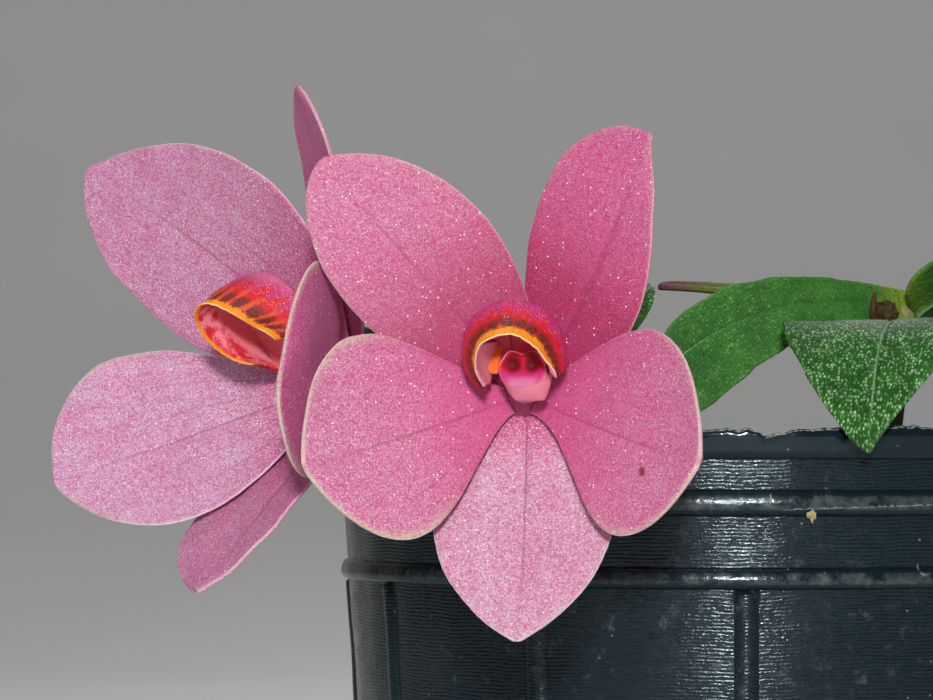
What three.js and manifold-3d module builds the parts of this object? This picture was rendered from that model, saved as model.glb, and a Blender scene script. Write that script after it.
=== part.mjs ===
// A small pink dendrobium orchid in a round nursery pot: pot, moss, leafy stems and two flowers.
// Millimetres, +Z up, the pot's foot on z = 0 and its axis on the origin. The front is -Y.

import * as THREE from 'three';
import { mergeVertices } from 'three/addons/utils/BufferGeometryUtils.js';
import Module from 'manifold-3d';

const wasm = await Module();
wasm.setup();

// Driving dimensions of the pot
const potHeight = 72;
const potRimRadius = 40;
const collarProud = 0.8;
const wallTaper = Math.tan(THREE.MathUtils.degToRad(4.1));
const wall = 0.9;
const floorThickness = 1.3;
const collarLow = 69.2;
const upperBead = { low: 64.1, high: 66.5, proud: 0.7 };
const lowerBead = { low: 57.6, high: 59.6, proud: 0.7 };
const ribCount = 12;
const ribHalfWidth = 1.0;
const ribProud = 0.5;
const ribTurn = -2.4;
const rimRagged = 0.22;
const drainCount = 8;
const drainRadius = 1.8;
const drainCircle = 23;
const potSegments = 44;

// Driving dimensions of the planting
const clearance = 0.3;
const mossTop = 62.5;
const mossLump = 0.7;
const holeDepth = 12;
const caneRoot = 1.2;
const bladeThickness = 0.65;
const leafThickness = 0.7;
const tipHalfWidth = 0.35;
const lipThickness = 0.6;
const lipClaw = 2.4;

const deg = THREE.MathUtils.degToRad;
const vec = (x, y, z) => new THREE.Vector3(x, y, z);

const material = (color, roughness) => new THREE.MeshStandardMaterial({ color, roughness, metalness: 0 });
const potPlastic = material('#28313a', 0.38);
const mossGreen = material('#8a7a4c', 0.95);
const leafGreen = material('#2f6b28', 0.55);
const petalPink = material('#d8689a', 0.6);
const lipRed = material('#e2402c', 0.45);
const columnRed = material('#c8345c', 0.45);
const stalkGreen = material('#9a7a5a', 0.6);

// Closed meshes: weld the vertices, drop flat triangles and turn the faces outward
function welded(geometry) {
  const bare = geometry.index ? geometry.clone() : geometry;
  bare.deleteAttribute('normal');
  bare.deleteAttribute('uv');
  const merged = mergeVertices(bare, 1e-4);
  const index = merged.index.array;
  const kept = [];
  for (let i = 0; i < index.length; i += 3) {
    const [a, b, c] = [index[i], index[i + 1], index[i + 2]];
    if (a !== b && b !== c && c !== a) kept.push(a, b, c);
  }
  merged.setIndex(kept);
  return signedVolume(merged) < 0 ? flipped(merged) : merged;
}

function signedVolume(geometry) {
  const position = geometry.attributes.position;
  const index = geometry.index.array;
  const [a, b, c] = [vec(), vec(), vec()];
  let volume = 0;
  for (let i = 0; i < index.length; i += 3) {
    a.fromBufferAttribute(position, index[i]);
    b.fromBufferAttribute(position, index[i + 1]);
    c.fromBufferAttribute(position, index[i + 2]);
    volume += a.dot(b.cross(c)) / 6;
  }
  return volume;
}

function flipped(geometry) {
  const index = [...geometry.index.array];
  for (let i = 0; i < index.length; i += 3) {
    [index[i + 1], index[i + 2]] = [index[i + 2], index[i + 1]];
  }
  geometry.setIndex(index);
  return geometry;
}

// Joining and cutting solids
function toSolid(geometry) {
  const closed = welded(geometry);
  const vertProperties = new Float32Array(closed.attributes.position.array);
  const triVerts = new Uint32Array(closed.index.array);
  return new wasm.Manifold(new wasm.Mesh({ numProp: 3, vertProperties, triVerts }));
}

function fromSolid(solid) {
  const mesh = solid.getMesh();
  const geometry = new THREE.BufferGeometry();
  geometry.setAttribute('position', new THREE.BufferAttribute(new Float32Array(mesh.vertProperties), 3));
  geometry.setIndex([...mesh.triVerts]);
  return geometry;
}

const fused = (geometries) => fromSolid(geometries.map(toSolid).reduce((sum, next) => sum.add(next)));
const cutBy = (geometry, cutters) =>
  fromSolid(cutters.map(toSolid).reduce((rest, cutter) => rest.subtract(cutter), toSolid(geometry)));

// A thin sheet: two faces half a thickness either side of a grid of points, joined round the edge
function sheet(grid, thickness) {
  const rows = grid.length;
  const columns = grid[0].length;
  const at = (i, j) => grid[Math.min(Math.max(i, 0), rows - 1)][Math.min(Math.max(j, 0), columns - 1)];
  const front = [];
  const back = [];
  for (let i = 0; i < rows; i += 1) {
    for (let j = 0; j < columns; j += 1) {
      const along = at(i + 1, j).clone().sub(at(i - 1, j));
      const across = at(i, j + 1).clone().sub(at(i, j - 1));
      const normal = along.cross(across).normalize().multiplyScalar(thickness / 2);
      front.push(grid[i][j].clone().add(normal));
      back.push(grid[i][j].clone().sub(normal));
    }
  }
  const geometry = new THREE.BufferGeometry().setFromPoints([...front, ...back]);
  const under = rows * columns;
  const id = (i, j) => i * columns + j;
  const index = [];
  for (let i = 0; i < rows - 1; i += 1) {
    for (let j = 0; j < columns - 1; j += 1) {
      const [a, b, c, d] = [id(i, j), id(i, j + 1), id(i + 1, j), id(i + 1, j + 1)];
      index.push(a, c, b, b, c, d);
      index.push(under + a, under + b, under + c, under + b, under + d, under + c);
    }
  }
  const rim = edgeLoop(rows, columns, id);
  rim.forEach((a, k) => {
    const b = rim[(k + 1) % rim.length];
    index.push(a, b, under + a, b, under + b, under + a);
  });
  geometry.setIndex(index);
  return geometry;
}

function edgeLoop(rows, columns, id) {
  const loop = [];
  for (let j = 0; j < columns - 1; j += 1) loop.push(id(0, j));
  for (let i = 0; i < rows - 1; i += 1) loop.push(id(i, columns - 1));
  for (let j = columns - 1; j > 0; j -= 1) loop.push(id(rows - 1, j));
  for (let i = rows - 1; i > 0; i -= 1) loop.push(id(i, 0));
  return loop;
}

// Petals, sepals and leaves share one formula. s runs from root to tip and v across, -1 to 1.
// The midrib leaves `start` at `heading` (degrees, in the plane) and climbs by `rise` (root, tip),
// half width = wide * s^root * (1 - s)^tip scaled to peak at wide, plus a neck that fades out by
// (1 - s)^3, and the blade is cupped by cup * x^2 / 10 and twisted about its midrib.
function bladeGrid(blade, rows, columns) {
  const grid = [];
  const heading = deg(blade.heading);
  const spot = vec(Math.cos(heading), Math.sin(heading), 0).multiplyScalar(blade.start[0]);
  spot.z += blade.start[1];
  const step = blade.length / (rows - 1);
  for (let i = 0; i < rows; i += 1) {
    const s = i / (rows - 1);
    if (i > 0) spot.addScaledVector(bladeAxes(blade, s - 0.5 / (rows - 1)).ahead, step);
    const { side, up } = bladeAxes(blade, s);
    const row = [];
    for (let j = 0; j < columns; j += 1) {
      const v = (2 * j) / (columns - 1) - 1;
      const x = v * bladeHalfWidth(blade, s, v > 0 ? 0 : 1);
      const lift = (blade.cup * x * x) / 10 + (blade.fold ?? 0) * Math.abs(x);
      row.push(spot.clone().addScaledVector(side, x).addScaledVector(up, lift));
    }
    grid.push(row);
  }
  return grid;
}

function bladeAxes(blade, s) {
  const climb = deg(THREE.MathUtils.lerp(...blade.rise, s));
  const turn = deg(blade.heading + blade.bend * s);
  const twist = deg(THREE.MathUtils.lerp(...blade.twist, s));
  const ahead = vec(Math.cos(climb) * Math.cos(turn), Math.cos(climb) * Math.sin(turn), Math.sin(climb));
  const flat = vec(-Math.sin(turn), Math.cos(turn), 0);
  const lifted = vec(-Math.sin(climb) * Math.cos(turn), -Math.sin(climb) * Math.sin(turn), Math.cos(climb));
  const side = flat.clone().multiplyScalar(Math.cos(twist)).addScaledVector(lifted, Math.sin(twist));
  const up = lifted.multiplyScalar(Math.cos(twist)).addScaledVector(flat, -Math.sin(twist));
  return { ahead, side, up };
}

function bladeHalfWidth(blade, s, half) {
  const [root, tip] = [blade.root[half], blade.tip[half]];
  const peak = root / (root + tip);
  const shape = (s ** root * (1 - s) ** tip) / (peak ** root * (1 - peak) ** tip);
  return Math.max(blade.wide[half] * shape + blade.neck * (1 - s) ** 3, tipHalfWidth);
}

// A round piece along a curve: a lathe whose height runs 0 to 1, carried onto the curve
function bentLathe(profile, curve, segments, reference) {
  const outline = profile.map(([radius, share]) => new THREE.Vector2(radius, share));
  const geometry = new THREE.LatheGeometry(outline, segments);
  const position = geometry.attributes.position;
  for (let i = 0; i < position.count; i += 1) {
    const share = THREE.MathUtils.clamp(position.getY(i), 0, 1);
    const ahead = curve.getTangentAt(share);
    const side = reference.clone().cross(ahead).normalize();
    const up = ahead.clone().cross(side);
    const spot = curve.getPointAt(share);
    spot.addScaledVector(side, position.getX(i)).addScaledVector(up, position.getZ(i));
    position.setXYZ(i, spot.x, spot.y, spot.z);
  }
  return geometry;
}

const path = (...points) => new THREE.CatmullRomCurve3(points.map((point) => vec(...point)));

// Pot
const wallRadius = (z) => potRimRadius - collarProud - wallTaper * (potHeight - z);
const innerRadius = (z) => wallRadius(z) - wall;

function beadOutline({ low, high, proud }) {
  const shares = [0, 0.2, 0.5, 0.8, 1];
  return shares.map((share) => {
    const z = THREE.MathUtils.lerp(low, high, share);
    return [wallRadius(z) + proud * Math.sin(Math.PI * share) ** 0.6, z];
  });
}

function potShell() {
  const outline = [
    [0, 0],
    [wallRadius(0) - 1.2, 0],
    [wallRadius(1.2), 1.2],
    ...beadOutline(lowerBead),
    ...beadOutline(upperBead),
    [wallRadius(collarLow), collarLow],
    [potRimRadius - 0.15, collarLow + 0.35],
    [potRimRadius, collarLow + 1],
    [potRimRadius, potHeight - 0.5],
    [potRimRadius - 0.4, potHeight],
    [innerRadius(potHeight) + 0.4, potHeight],
    [innerRadius(potHeight), potHeight - 0.5],
    [innerRadius(floorThickness), floorThickness],
    [0, floorThickness],
  ];
  const points = outline.map(([radius, z]) => new THREE.Vector2(radius, z));
  const geometry = new THREE.LatheGeometry(points, potSegments).rotateX(Math.PI / 2);
  const position = geometry.attributes.position;
  for (let i = 0; i < position.count; i += 1) {
    if (position.getZ(i) < potHeight - 0.01) continue;
    const angle = Math.atan2(position.getY(i), position.getX(i));
    const ragged = Math.sin(9 * angle + 1) + 0.6 * Math.sin(16 * angle + 2);
    position.setZ(i, potHeight + rimRagged * ragged);
  }
  return geometry;
}

function potRib(turn) {
  const length = lowerBead.low - 3;
  const rib = new THREE.CylinderGeometry(ribHalfWidth, ribHalfWidth, length, 8);
  rib.scale(1, 1, 0.6).rotateX(Math.PI / 2);
  rib.rotateX(Math.atan(wallTaper));
  const middle = 2.6 + length / 2;
  rib.translate(0, -(wallRadius(middle) + ribProud - 0.6 * ribHalfWidth), middle);
  return rib.rotateZ(deg(turn));
}

function pot() {
  const turns = Array.from({ length: ribCount }, (_, k) => ribTurn + (k * 360) / ribCount);
  const drains = Array.from({ length: drainCount }, (_, k) => {
    const hole = new THREE.CylinderGeometry(drainRadius, drainRadius, 4, 14).rotateX(Math.PI / 2);
    return hole.translate(drainCircle, 0, 0).rotateZ(((k + 0.5) * 2 * Math.PI) / drainCount);
  });
  return cutBy(fused([potShell(), ...turns.map(potRib)]), drains);
}

// Leafy stems. Each has its foot in the moss, the top of its cane, and its leaves as blades whose
// heading is 0 along +X and 90 along +Y, and whose rise is above the horizontal.
const leafShape = { root: [0.75, 0.75], tip: [0.75, 0.75], cup: 0.1, fold: 0.16, neck: 0.8, start: [0, 0] };
const leaf = (heading, rise, length, halfWidth, more = {}) => ({
  ...leafShape, heading, rise, length, bend: 0, twist: [0, 0], wide: [halfWidth, halfWidth], ...more,
});

const stems = [
  { foot: [12.8, -10.8], top: [15.9, -14, 84.2], leaves: [
    leaf(196.7, [12.4, -46.3], 33.9, 5.3, {
      bend: 20, wide: [5.3, 3.3], root: [1.13, 1.54], tip: [0.3, 1], twist: [-60, -69],
      start: [-1, 0], neck: 2.1, cup: 0.14, fold: 0, below: 0.4 }),
    leaf(256.8, [37, -69.4], 35.1, 8.9, {
      bend: -1.6, wide: [8, 9.7], root: [0.9, 0.4], tip: [1.13, 0.78], twist: [-0.7, 4.4],
      start: [0.8, 0], neck: 1.9, cup: 0, fold: 0.02, below: 6.1 }),
    leaf(12, [42, -35], 20, 5.2, {
      bend: 20, wide: [5.4, 4.8], root: [0.5, 0.5], tip: [0.8, 1], twist: [-40, -5],
      start: [0.8, 0], neck: 2.6, fold: 0.05, below: 0.9 }),
    leaf(166, [14, 2], 24.5, 1.2, {
      twist: [-20, -20], root: [0.5, 0.5], tip: [0.25, 0.25], fold: 0.2, below: 1.2 }) ] },
  { foot: [-16, -17], top: [-16.6, -21.5, 79], leaves: [
    leaf(75, [52, 12], 18, 6.8, { below: 1.6 }),
    leaf(350, [30, -50], 12, 3.4, { below: 5 }) ] },
  { foot: [-24, -13], top: [-27, -19, 80], leaves: [
    leaf(174, [38, -36], 27, 6, { below: 3.6 }),
    leaf(104, [46, -30], 24, 5.4, { below: 2.1 }),
    leaf(230, [76, 70], 10, 2.6, { below: 1.1 }) ] },
  { foot: [-9, 8], top: [-12, 11, 83], leaves: [
    leaf(148, [32, -44], 28, 6.4, { below: 4.1 }),
    leaf(92, [40, -34], 25, 5.8, { below: 2.1 }),
    leaf(206, [34, -44], 17, 4.6, { below: 6.1 }) ] },
  { foot: [24, 4], top: [27, 5, 85], leaves: [
    leaf(-18, [35, -50], 29, 6.8, { below: 5.1 }),
    leaf(24, [45, -36], 27, 6.2, { below: 3.1 }),
    leaf(62, [56, -18], 23, 5.4, { below: 1.6 }) ] },
  { foot: [23, -16], top: [26.5, -19.5, 80], leaves: [
    leaf(-44, [32, -62], 26, 6.2, { below: 4.1 }),
    leaf(-4, [40, -46], 22, 4.6, { below: 2.1 }) ] },
  { foot: [4, 15], top: [4.5, 15.5, 68.4], leaves: [
    leaf(24, [24, -24], 12, 3.2, { below: 1.5 }),
    leaf(200, [24, -30], 11, 3, { below: 2.7 }) ] },
  { foot: [8, 0], top: [8, 1, 68.8], leaves: [
    leaf(100, [26, -24], 10, 2.8, { below: 1.5 }),
    leaf(280, [26, -36], 10, 3, { below: 2.7 }) ] },
];

function canePath({ foot, top }) {
  const [x, y] = foot;
  const bottom = mossTop - holeDepth;
  const lean = (share) => [THREE.MathUtils.lerp(x, top[0], share), THREE.MathUtils.lerp(y, top[1], share)];
  const rise = top[2] - mossTop;
  return path([x, y, bottom], [x, y, bottom + 6], [x, y, mossTop + 2],
    [...lean(0.35), mossTop + 0.45 * rise], [...lean(1), top[2]]);
}

// The cane swells between its nodes: radius = root, fuller a third of the way up, ringed every node
function cane(stem) {
  const curve = canePath(stem);
  const length = curve.getLength();
  const buried = (holeDepth + 2) / length;
  const profile = [[0, 0], [caneRoot, 0], [caneRoot, buried]];
  const rings = length > 26 ? 9 : 4;
  for (let k = 1; k <= rings; k += 1) {
    const share = k / rings;
    const swell = 0.75 * Math.sin(Math.PI * share ** 0.7) - 0.25 * share;
    const ring = k % 2 ? 0.14 : -0.06;
    profile.push([caneRoot + swell + ring, THREE.MathUtils.lerp(buried, 0.985, share)]);
  }
  profile.push([0, 1]);
  return bentLathe(profile, curve, 8, vec(1, 0, 0));
}

function leafSolid(stem, blade) {
  const grid = bladeGrid(blade, 12, 3);
  const [x, y, z] = stem.top;
  return sheet(grid, leafThickness).translate(x, y, z - blade.below);
}

const leafyStem = (stem) => fused([cane(stem), ...stem.leaves.map((blade) => leafSolid(stem, blade))]);

// Moss: a plug that fills the pot to below its rim, lumpy on top, with a plain hole for each cane
function moss() {
  const bottom = floorThickness + clearance;
  const outer = (z) => innerRadius(z) - clearance;
  const rings = [1, 0.84, 0.68, 0.52, 0.36, 0.2];
  const outline = [
    [0, bottom],
    [outer(bottom), bottom],
    ...rings.map((share) => [outer(mossTop) * share, mossTop]),
    [0, mossTop],
  ];
  const points = outline.map(([radius, z]) => new THREE.Vector2(radius, z));
  const geometry = new THREE.LatheGeometry(points, 28).rotateX(Math.PI / 2);
  const position = geometry.attributes.position;
  for (let i = 0; i < position.count; i += 1) {
    if (position.getZ(i) < mossTop - 0.01) continue;
    const [x, y] = [position.getX(i), position.getY(i)];
    const inward = 1 - Math.hypot(x, y) / outer(mossTop);
    const lump = Math.sin(x / 3.1 + 1) * Math.cos(y / 3.7) + 0.5 * Math.sin((x + y) / 1.9);
    position.setZ(i, mossTop + mossLump * lump + Math.sqrt(Math.max(inward, 0)));
  }
  const holes = stems.map(({ foot }) => {
    const radius = caneRoot + 2 * clearance;
    const hole = new THREE.CylinderGeometry(radius, radius, 2 * holeDepth, 10).rotateX(Math.PI / 2);
    return hole.translate(foot[0], foot[1], mossTop - clearance);
  });
  return cutBy(geometry, holes);
}

// Flowers. A flower's own frame has x to its right, y up and z out of its face; both hang with the
// lip uppermost, so the dorsal sepal points down and the two lateral sepals stand above.
const tepal = (heading, rise, length, wide, root, tip, start, more = {}) => ({
  heading, rise, length, wide, root, tip, start, bend: 0, twist: [0, 0], cup: 0.1, neck: 1.2, ...more,
});

const frontFlower = {
  name: 'front_flower', centre: [-21.5, -52, 74.5], yaw: 11, pitch: 4, size: 1,
  column: { points: [[0.5, -0.1, 2.65], [1, 0.1, 4.2], [0.9, 1.55, 6.3]], halfWidth: 2.05, halfHeight: 1.55 },
  tepals: [
    tepal(-85, [19, 26], 21.4, [7.5, 7.5], [0.81, 0.82], [0.86, 0.82], [1.2, -0.4], { bend: -5 }),
    tepal(204, [23, 46], 20, [8.4, 9.2], [1.46, 1.21], [0.81, 0.88], [1.2, 0.8], { bend: -1, cup: 0.12 }),
    tepal(-26, [26, 41], 19.8, [9, 7.7], [0.97, 1.9], [0.83, 0.87], [1.2, 0.8], { bend: 9, cup: 0.12 }),
    tepal(129, [19, 23], 25.5, [6.3, 7.1], [0.8, 0.8], [0.6, 0.69], [1.2, -1.2], { bend: 4 }),
    tepal(56, [18, 25], 24.4, [7.4, 5.1], [0.92, 0.8], [0.51, 1.19], [1.2, -2], {
      bend: 11, twist: [-12, -18] }),
  ],
  lip: {
    left: -133, right: 123, early: 1, full: [7.8, 2.6], height: 3.47, seat: 1.53, shift: [0.47, 0.37],
    rimSides: [4.6, 4.75], rimCrown: 2.2, rimPower: 0.6, flick: 1,
    reachSides: [5.4, 7.1], reachCrown: 10.5, reachPower: 0.5, tilt: -13, roll: 8, clawShare: 0.34,
  },
};

const leftFlower = {
  name: 'left_flower', centre: [-38, -38.5, 76], yaw: 60, pitch: 4, size: 1.1,
  column: { points: [[0.3, -0.1, 2.65], [0.5, 0.3, 3.6], [0.7, 1.6, 4.7]], halfWidth: 1.7, halfHeight: 1.4 },
  tepals: [
    tepal(-98, [29, 39], 22, [4.2, 9], [0.8, 1.43], [0.76, 0.58], [1.2, -1.2], { bend: 3 }),
    tepal(202, [26, 47], 28, [8.1, 9.8], [1, 1.17], [0.84, 0.46], [1.2, 0.8], { bend: 8, cup: 0.12 }),
    tepal(-9, [25, 58], 19, [10.5, 7.7], [1.5, 0.82], [0.86, 0.59], [1.2, 0.8], { bend: 9, cup: 0.05 }),
    tepal(137, [21, 32], 35, [8.8, 10.4], [0.8, 0.8], [0.55, 0.97], [1.2, -1.2], { bend: 12 }),
    tepal(80, [16, 25], 26, [5.2, 7.6], [1, 1.45], [0.48, 0.8], [1.2, -2], {
      bend: 7, twist: [-3, -16] }),
  ],
  lip: {
    left: -140, right: 135, early: 0.72, full: [6.95, 3.35], height: 3.74, seat: 1.9, shift: [1.2, 1.6],
    rimSides: [3.45, 2.4], rimCrown: 2.8, rimPower: 2.8, flick: 0.9,
    reachSides: [5, 4.5], reachCrown: 11.2, reachPower: 0.52, tilt: -16, roll: 21.5, clawShare: 0.6,
  },
};

// Tepals are fused to the neck behind them and to the blunt chin that the lateral sepals form
function bloom(flower) {
  const neck = bentLathe([[0, 0], [0.9, 0], [1.5, 0.35], [1.9, 0.8], [1.2, 0.97], [0, 1]],
    path([0, 0, -3.8], [0, 0, -1], [0, 0, 2.2]), 10, vec(1, 0, 0));
  const chin = bentLathe([[0, 0], [1.7, 0.02], [1.9, 0.45], [1.4, 0.85], [0.7, 0.97], [0, 1]],
    path([0, 0.6, -0.8], [0, 2.6, -3.2], [0, 3.6, -6.4]), 10, vec(1, 0, 0));
  const blades = flower.tepals.map((blade) => sheet(bladeGrid(blade, 11, 7), bladeThickness));
  return fused([neck, chin, ...blades]);
}

// Lip: a hood over the column. `around` turns from its left lobe over the crown to its right lobe, and
// t runs from the claw to the rim. Radius follows a cubic Bezier in t^early. The claw wraps only a share
// of the turn. The rim reaches furthest forward and is narrowest at the crown: reach and rim radius go
// from their side values to their crown values by powers of crown = (1 + cos around) / 2. The hood is
// then tilted and rolled about its claw.
function lipGrid(lip, size) {
  const [rows, columns] = [12, 21];
  const turn = new THREE.Euler(deg(-lip.tilt), 0, deg(lip.roll), 'ZXY');
  const grid = [];
  for (let i = 0; i < rows; i += 1) {
    const t = i / (rows - 1);
    const settled = THREE.MathUtils.smoothstep(t, 0, 0.4);
    const open = THREE.MathUtils.lerp(lip.clawShare, 1, THREE.MathUtils.smoothstep(t, 0, 0.45));
    const height = THREE.MathUtils.lerp(lip.seat, lip.height, settled);
    const row = [];
    for (let j = 0; j < columns; j += 1) {
      const around = THREE.MathUtils.lerp(lip.left, lip.right, j / (columns - 1));
      const angle = deg(around) * open;
      const middle = bezier([0.5, lip.full[0], lip.full[1], rimRadius(lip, around)], t ** lip.early);
      const radius = middle - lipThickness / 2;
      const forward = t * (rimReach(lip, around) - lipClaw);
      const spot = vec(radius * Math.sin(angle), height + radius * Math.cos(angle), forward).applyEuler(turn);
      spot.add(vec(lip.shift[0] * settled, lip.shift[1] * settled, lipClaw));
      row.push(spot.multiplyScalar(size));
    }
    grid.push(row);
  }
  return grid;
}

const crownShare = (around) => (1 + Math.cos(deg(around))) / 2;
const sideValue = ([left, right], around) =>
  THREE.MathUtils.lerp(left, right, THREE.MathUtils.smoothstep(around, -60, 60));

function rimRadius(lip, around) {
  const side = sideValue(lip.rimSides, around);
  const flick = lip.flick * THREE.MathUtils.smoothstep(around / lip.right, 0.8, 1);
  return side + (lip.rimCrown - side) * crownShare(around) ** lip.rimPower + flick;
}

function rimReach(lip, around) {
  const side = sideValue(lip.reachSides, around);
  return side + (lip.reachCrown - side) * crownShare(around) ** lip.reachPower;
}

function bezier([a, b, c, d], t) {
  const u = 1 - t;
  return a * u ** 3 + 3 * b * u * u * t + 3 * c * u * t * t + d * t ** 3;
}

// Column: ellipses parallel to its blunt face, stacked along a curve from the claw to the face
const columnProfile = [
  [0, 0], [0.56, 0], [0.62, 0.25], [0.8, 0.6], [0.96, 0.85], [1, 0.94], [0.94, 1], [0, 1],
];

function column({ points, halfWidth, halfHeight }) {
  const outline = columnProfile.map(([radius, share]) => new THREE.Vector2(radius, share));
  const geometry = new THREE.LatheGeometry(outline, 14);
  const curve = path(...points);
  const position = geometry.attributes.position;
  for (let i = 0; i < position.count; i += 1) {
    const spot = curve.getPointAt(THREE.MathUtils.clamp(position.getY(i), 0, 1));
    const [across, upward] = [halfWidth * position.getX(i), halfHeight * position.getZ(i)];
    position.setXYZ(i, spot.x + across, spot.y + upward, spot.z);
  }
  return geometry;
}

// Stalks run from the back of each flower over the rim to the side of their cane
const stalks = {
  front_flower: path([-20.72, -47.9, 74.2], [-20.2, -43.5, 74.6], [-19.4, -36, 75.9], [-17.5, -23.6, 76.6]),
  left_flower: path([-34.2, -36.25, 75.65], [-32.6, -34.6, 75.9], [-29.6, -28, 76.6], [-27, -20.5, 76.2]),
};
const stalkProfile = [
  [0, 0], [0.75, 0], [1.15, 0.1], [1.0, 0.2], [0.6, 0.3], [0.55, 0.65], [0.6, 1], [0, 1],
];

// The finished object
const orchid = new THREE.Group();

function place(parent, name, geometry, finish) {
  const mesh = new THREE.Mesh(welded(geometry), finish);
  mesh.name = name;
  parent.add(mesh);
}

place(orchid, 'pot', pot(), potPlastic);
place(orchid, 'moss', moss(), mossGreen);
stems.forEach((stem, k) => place(orchid, `leafy_stem_${k + 1}`, leafyStem(stem), leafGreen));

for (const flower of [frontFlower, leftFlower]) {
  const head = new THREE.Group();
  head.position.set(...flower.centre);
  head.rotation.set(Math.PI / 2 - deg(flower.pitch), 0, -deg(flower.yaw), 'ZXY');
  place(head, `${flower.name}_tepals`, bloom(flower), petalPink);
  place(head, `${flower.name}_lip`, sheet(lipGrid(flower.lip, flower.size), lipThickness), lipRed);
  place(head, `${flower.name}_column`, column(flower.column), columnRed);
  orchid.add(head);
  const stalk = bentLathe(stalkProfile, stalks[flower.name], 8, vec(0, 0, 1));
  place(orchid, `${flower.name}_stalk`, stalk, stalkGreen);
}

export default orchid;
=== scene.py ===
import math
import bmesh
import bpy
import numpy as np
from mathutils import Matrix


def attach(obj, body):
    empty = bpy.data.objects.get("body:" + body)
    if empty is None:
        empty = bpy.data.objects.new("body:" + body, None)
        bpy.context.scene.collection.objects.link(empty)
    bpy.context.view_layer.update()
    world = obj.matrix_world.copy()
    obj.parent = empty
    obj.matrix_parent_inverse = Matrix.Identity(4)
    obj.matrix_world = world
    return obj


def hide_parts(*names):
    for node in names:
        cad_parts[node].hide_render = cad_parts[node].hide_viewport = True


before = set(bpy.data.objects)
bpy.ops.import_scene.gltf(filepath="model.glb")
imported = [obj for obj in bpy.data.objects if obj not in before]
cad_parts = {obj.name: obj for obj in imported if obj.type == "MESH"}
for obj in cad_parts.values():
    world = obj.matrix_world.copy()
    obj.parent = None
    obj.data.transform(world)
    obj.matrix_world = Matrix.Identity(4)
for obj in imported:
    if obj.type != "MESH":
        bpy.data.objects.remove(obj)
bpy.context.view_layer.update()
print("frame loaded:", len(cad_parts), "nodes")

# A potted dendrobium: one pot, a bed of moss, eight leafy stems and two pink flowers.
# Shapes are worked out in millimetres and written to the meshes in metres.
mm = 0.001
pi = math.pi
deg = math.radians


# Numbers
def lerp(low, high, share):
    # low + (high - low) * share
    return low + (high - low) * share


def smooth(x, low, high):
    # 0 below low, 1 above high, 3k^2 - 2k^3 between
    k = np.clip((x - low) / (high - low), 0, 1)
    return k * k * (3 - 2 * k)


def unit(v):
    # vectors divided by their lengths
    return v / np.maximum(np.linalg.norm(v, axis=-1, keepdims=True), 1e-12)


def waves(x, y, seed, pitch, count=9):
    # a sum of sines in random directions, each about `pitch` long, scaled to roughly -1 to 1
    rng = np.random.default_rng(seed)
    total = 0
    for turn, phase, stretch in rng.uniform((0, 0, 0.7), (pi, 2 * pi, 1.6), (count, 3)):
        run = (x * math.cos(turn) + y * math.sin(turn)) * 2 * pi / (pitch * stretch)
        total = total + np.sin(run + phase)
    return total / math.sqrt(count)


def curveThrough(points, count):
    # a centripetal Catmull-Rom curve through the points, taken at even steps of its length
    p = np.array(points, float)
    p = np.vstack([2 * p[0] - p[1], p, 2 * p[-1] - p[-2]])
    gap = np.linalg.norm(np.diff(p, axis=0), axis=1)[:, None] ** 0.5
    p0, p1, p2, p3 = p[:-3], p[1:-2], p[2:-1], p[3:]
    d0, d1, d2 = gap[:-2], gap[1:-1], gap[2:]
    m1 = ((p1 - p0) / d0 - (p2 - p0) / (d0 + d1) + (p2 - p1) / d1) * d1
    m2 = ((p2 - p1) / d1 - (p3 - p1) / (d1 + d2) + (p3 - p2) / d2) * d1
    t = np.linspace(0, 1, 50)[:-1, None, None]
    fine = (2 * t**3 - 3 * t**2 + 1) * p1 + (t**3 - 2 * t**2 + t) * m1
    fine = fine + (3 * t**2 - 2 * t**3) * p2 + (t**3 - t**2) * m2
    fine = np.vstack([fine.transpose(1, 0, 2).reshape(-1, 3), p[-2]])
    run = np.append(0, np.cumsum(np.linalg.norm(np.diff(fine, axis=0), axis=1)))
    at = np.linspace(0, run[-1], count)
    return np.stack([np.interp(at, run, fine[:, k]) for k in range(3)], axis=1), run[-1]


# Surfaces
# A surface is (points, faces, maps): points in mm, quads, and one (n, 2) array for each named map.
def gridFaces(rows, columns, flip=False):
    # one quad between each point of a grid, its neighbours in the next row and column, and the fourth
    a = (np.arange(rows - 1)[:, None] * columns + np.arange(columns - 1)).ravel()
    quads = np.stack([a, a + 1, a + columns + 1, a + columns], axis=1)
    return quads[:, ::-1] if flip else quads


def pair(a, b, like=1.0):
    # two values for each point of a grid, stretched to one shape
    return np.stack(np.broadcast_arrays(a * like, b * like), axis=-1)


def fromGrid(grid, maps, flip=False):
    # a (rows, columns, 3) grid as a surface
    rows, columns = grid.shape[:2]
    flat = {name: values.reshape(-1, 2) for name, values in maps.items()}
    return grid.reshape(-1, 3), gridFaces(rows, columns, flip), flat


def steps(grid, low=0, high=1):
    # 0 to 1 down a grid's rows and low to high along its columns
    return np.linspace(0, 1, grid["rows"])[:, None], np.linspace(low, high, grid["columns"])[None]


def sheetNormals(mid):
    # the unit cross product of the steps along the rows and across them
    along = np.gradient(mid, axis=0)
    across = np.gradient(mid, axis=1)
    return unit(np.cross(along, across))


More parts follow.
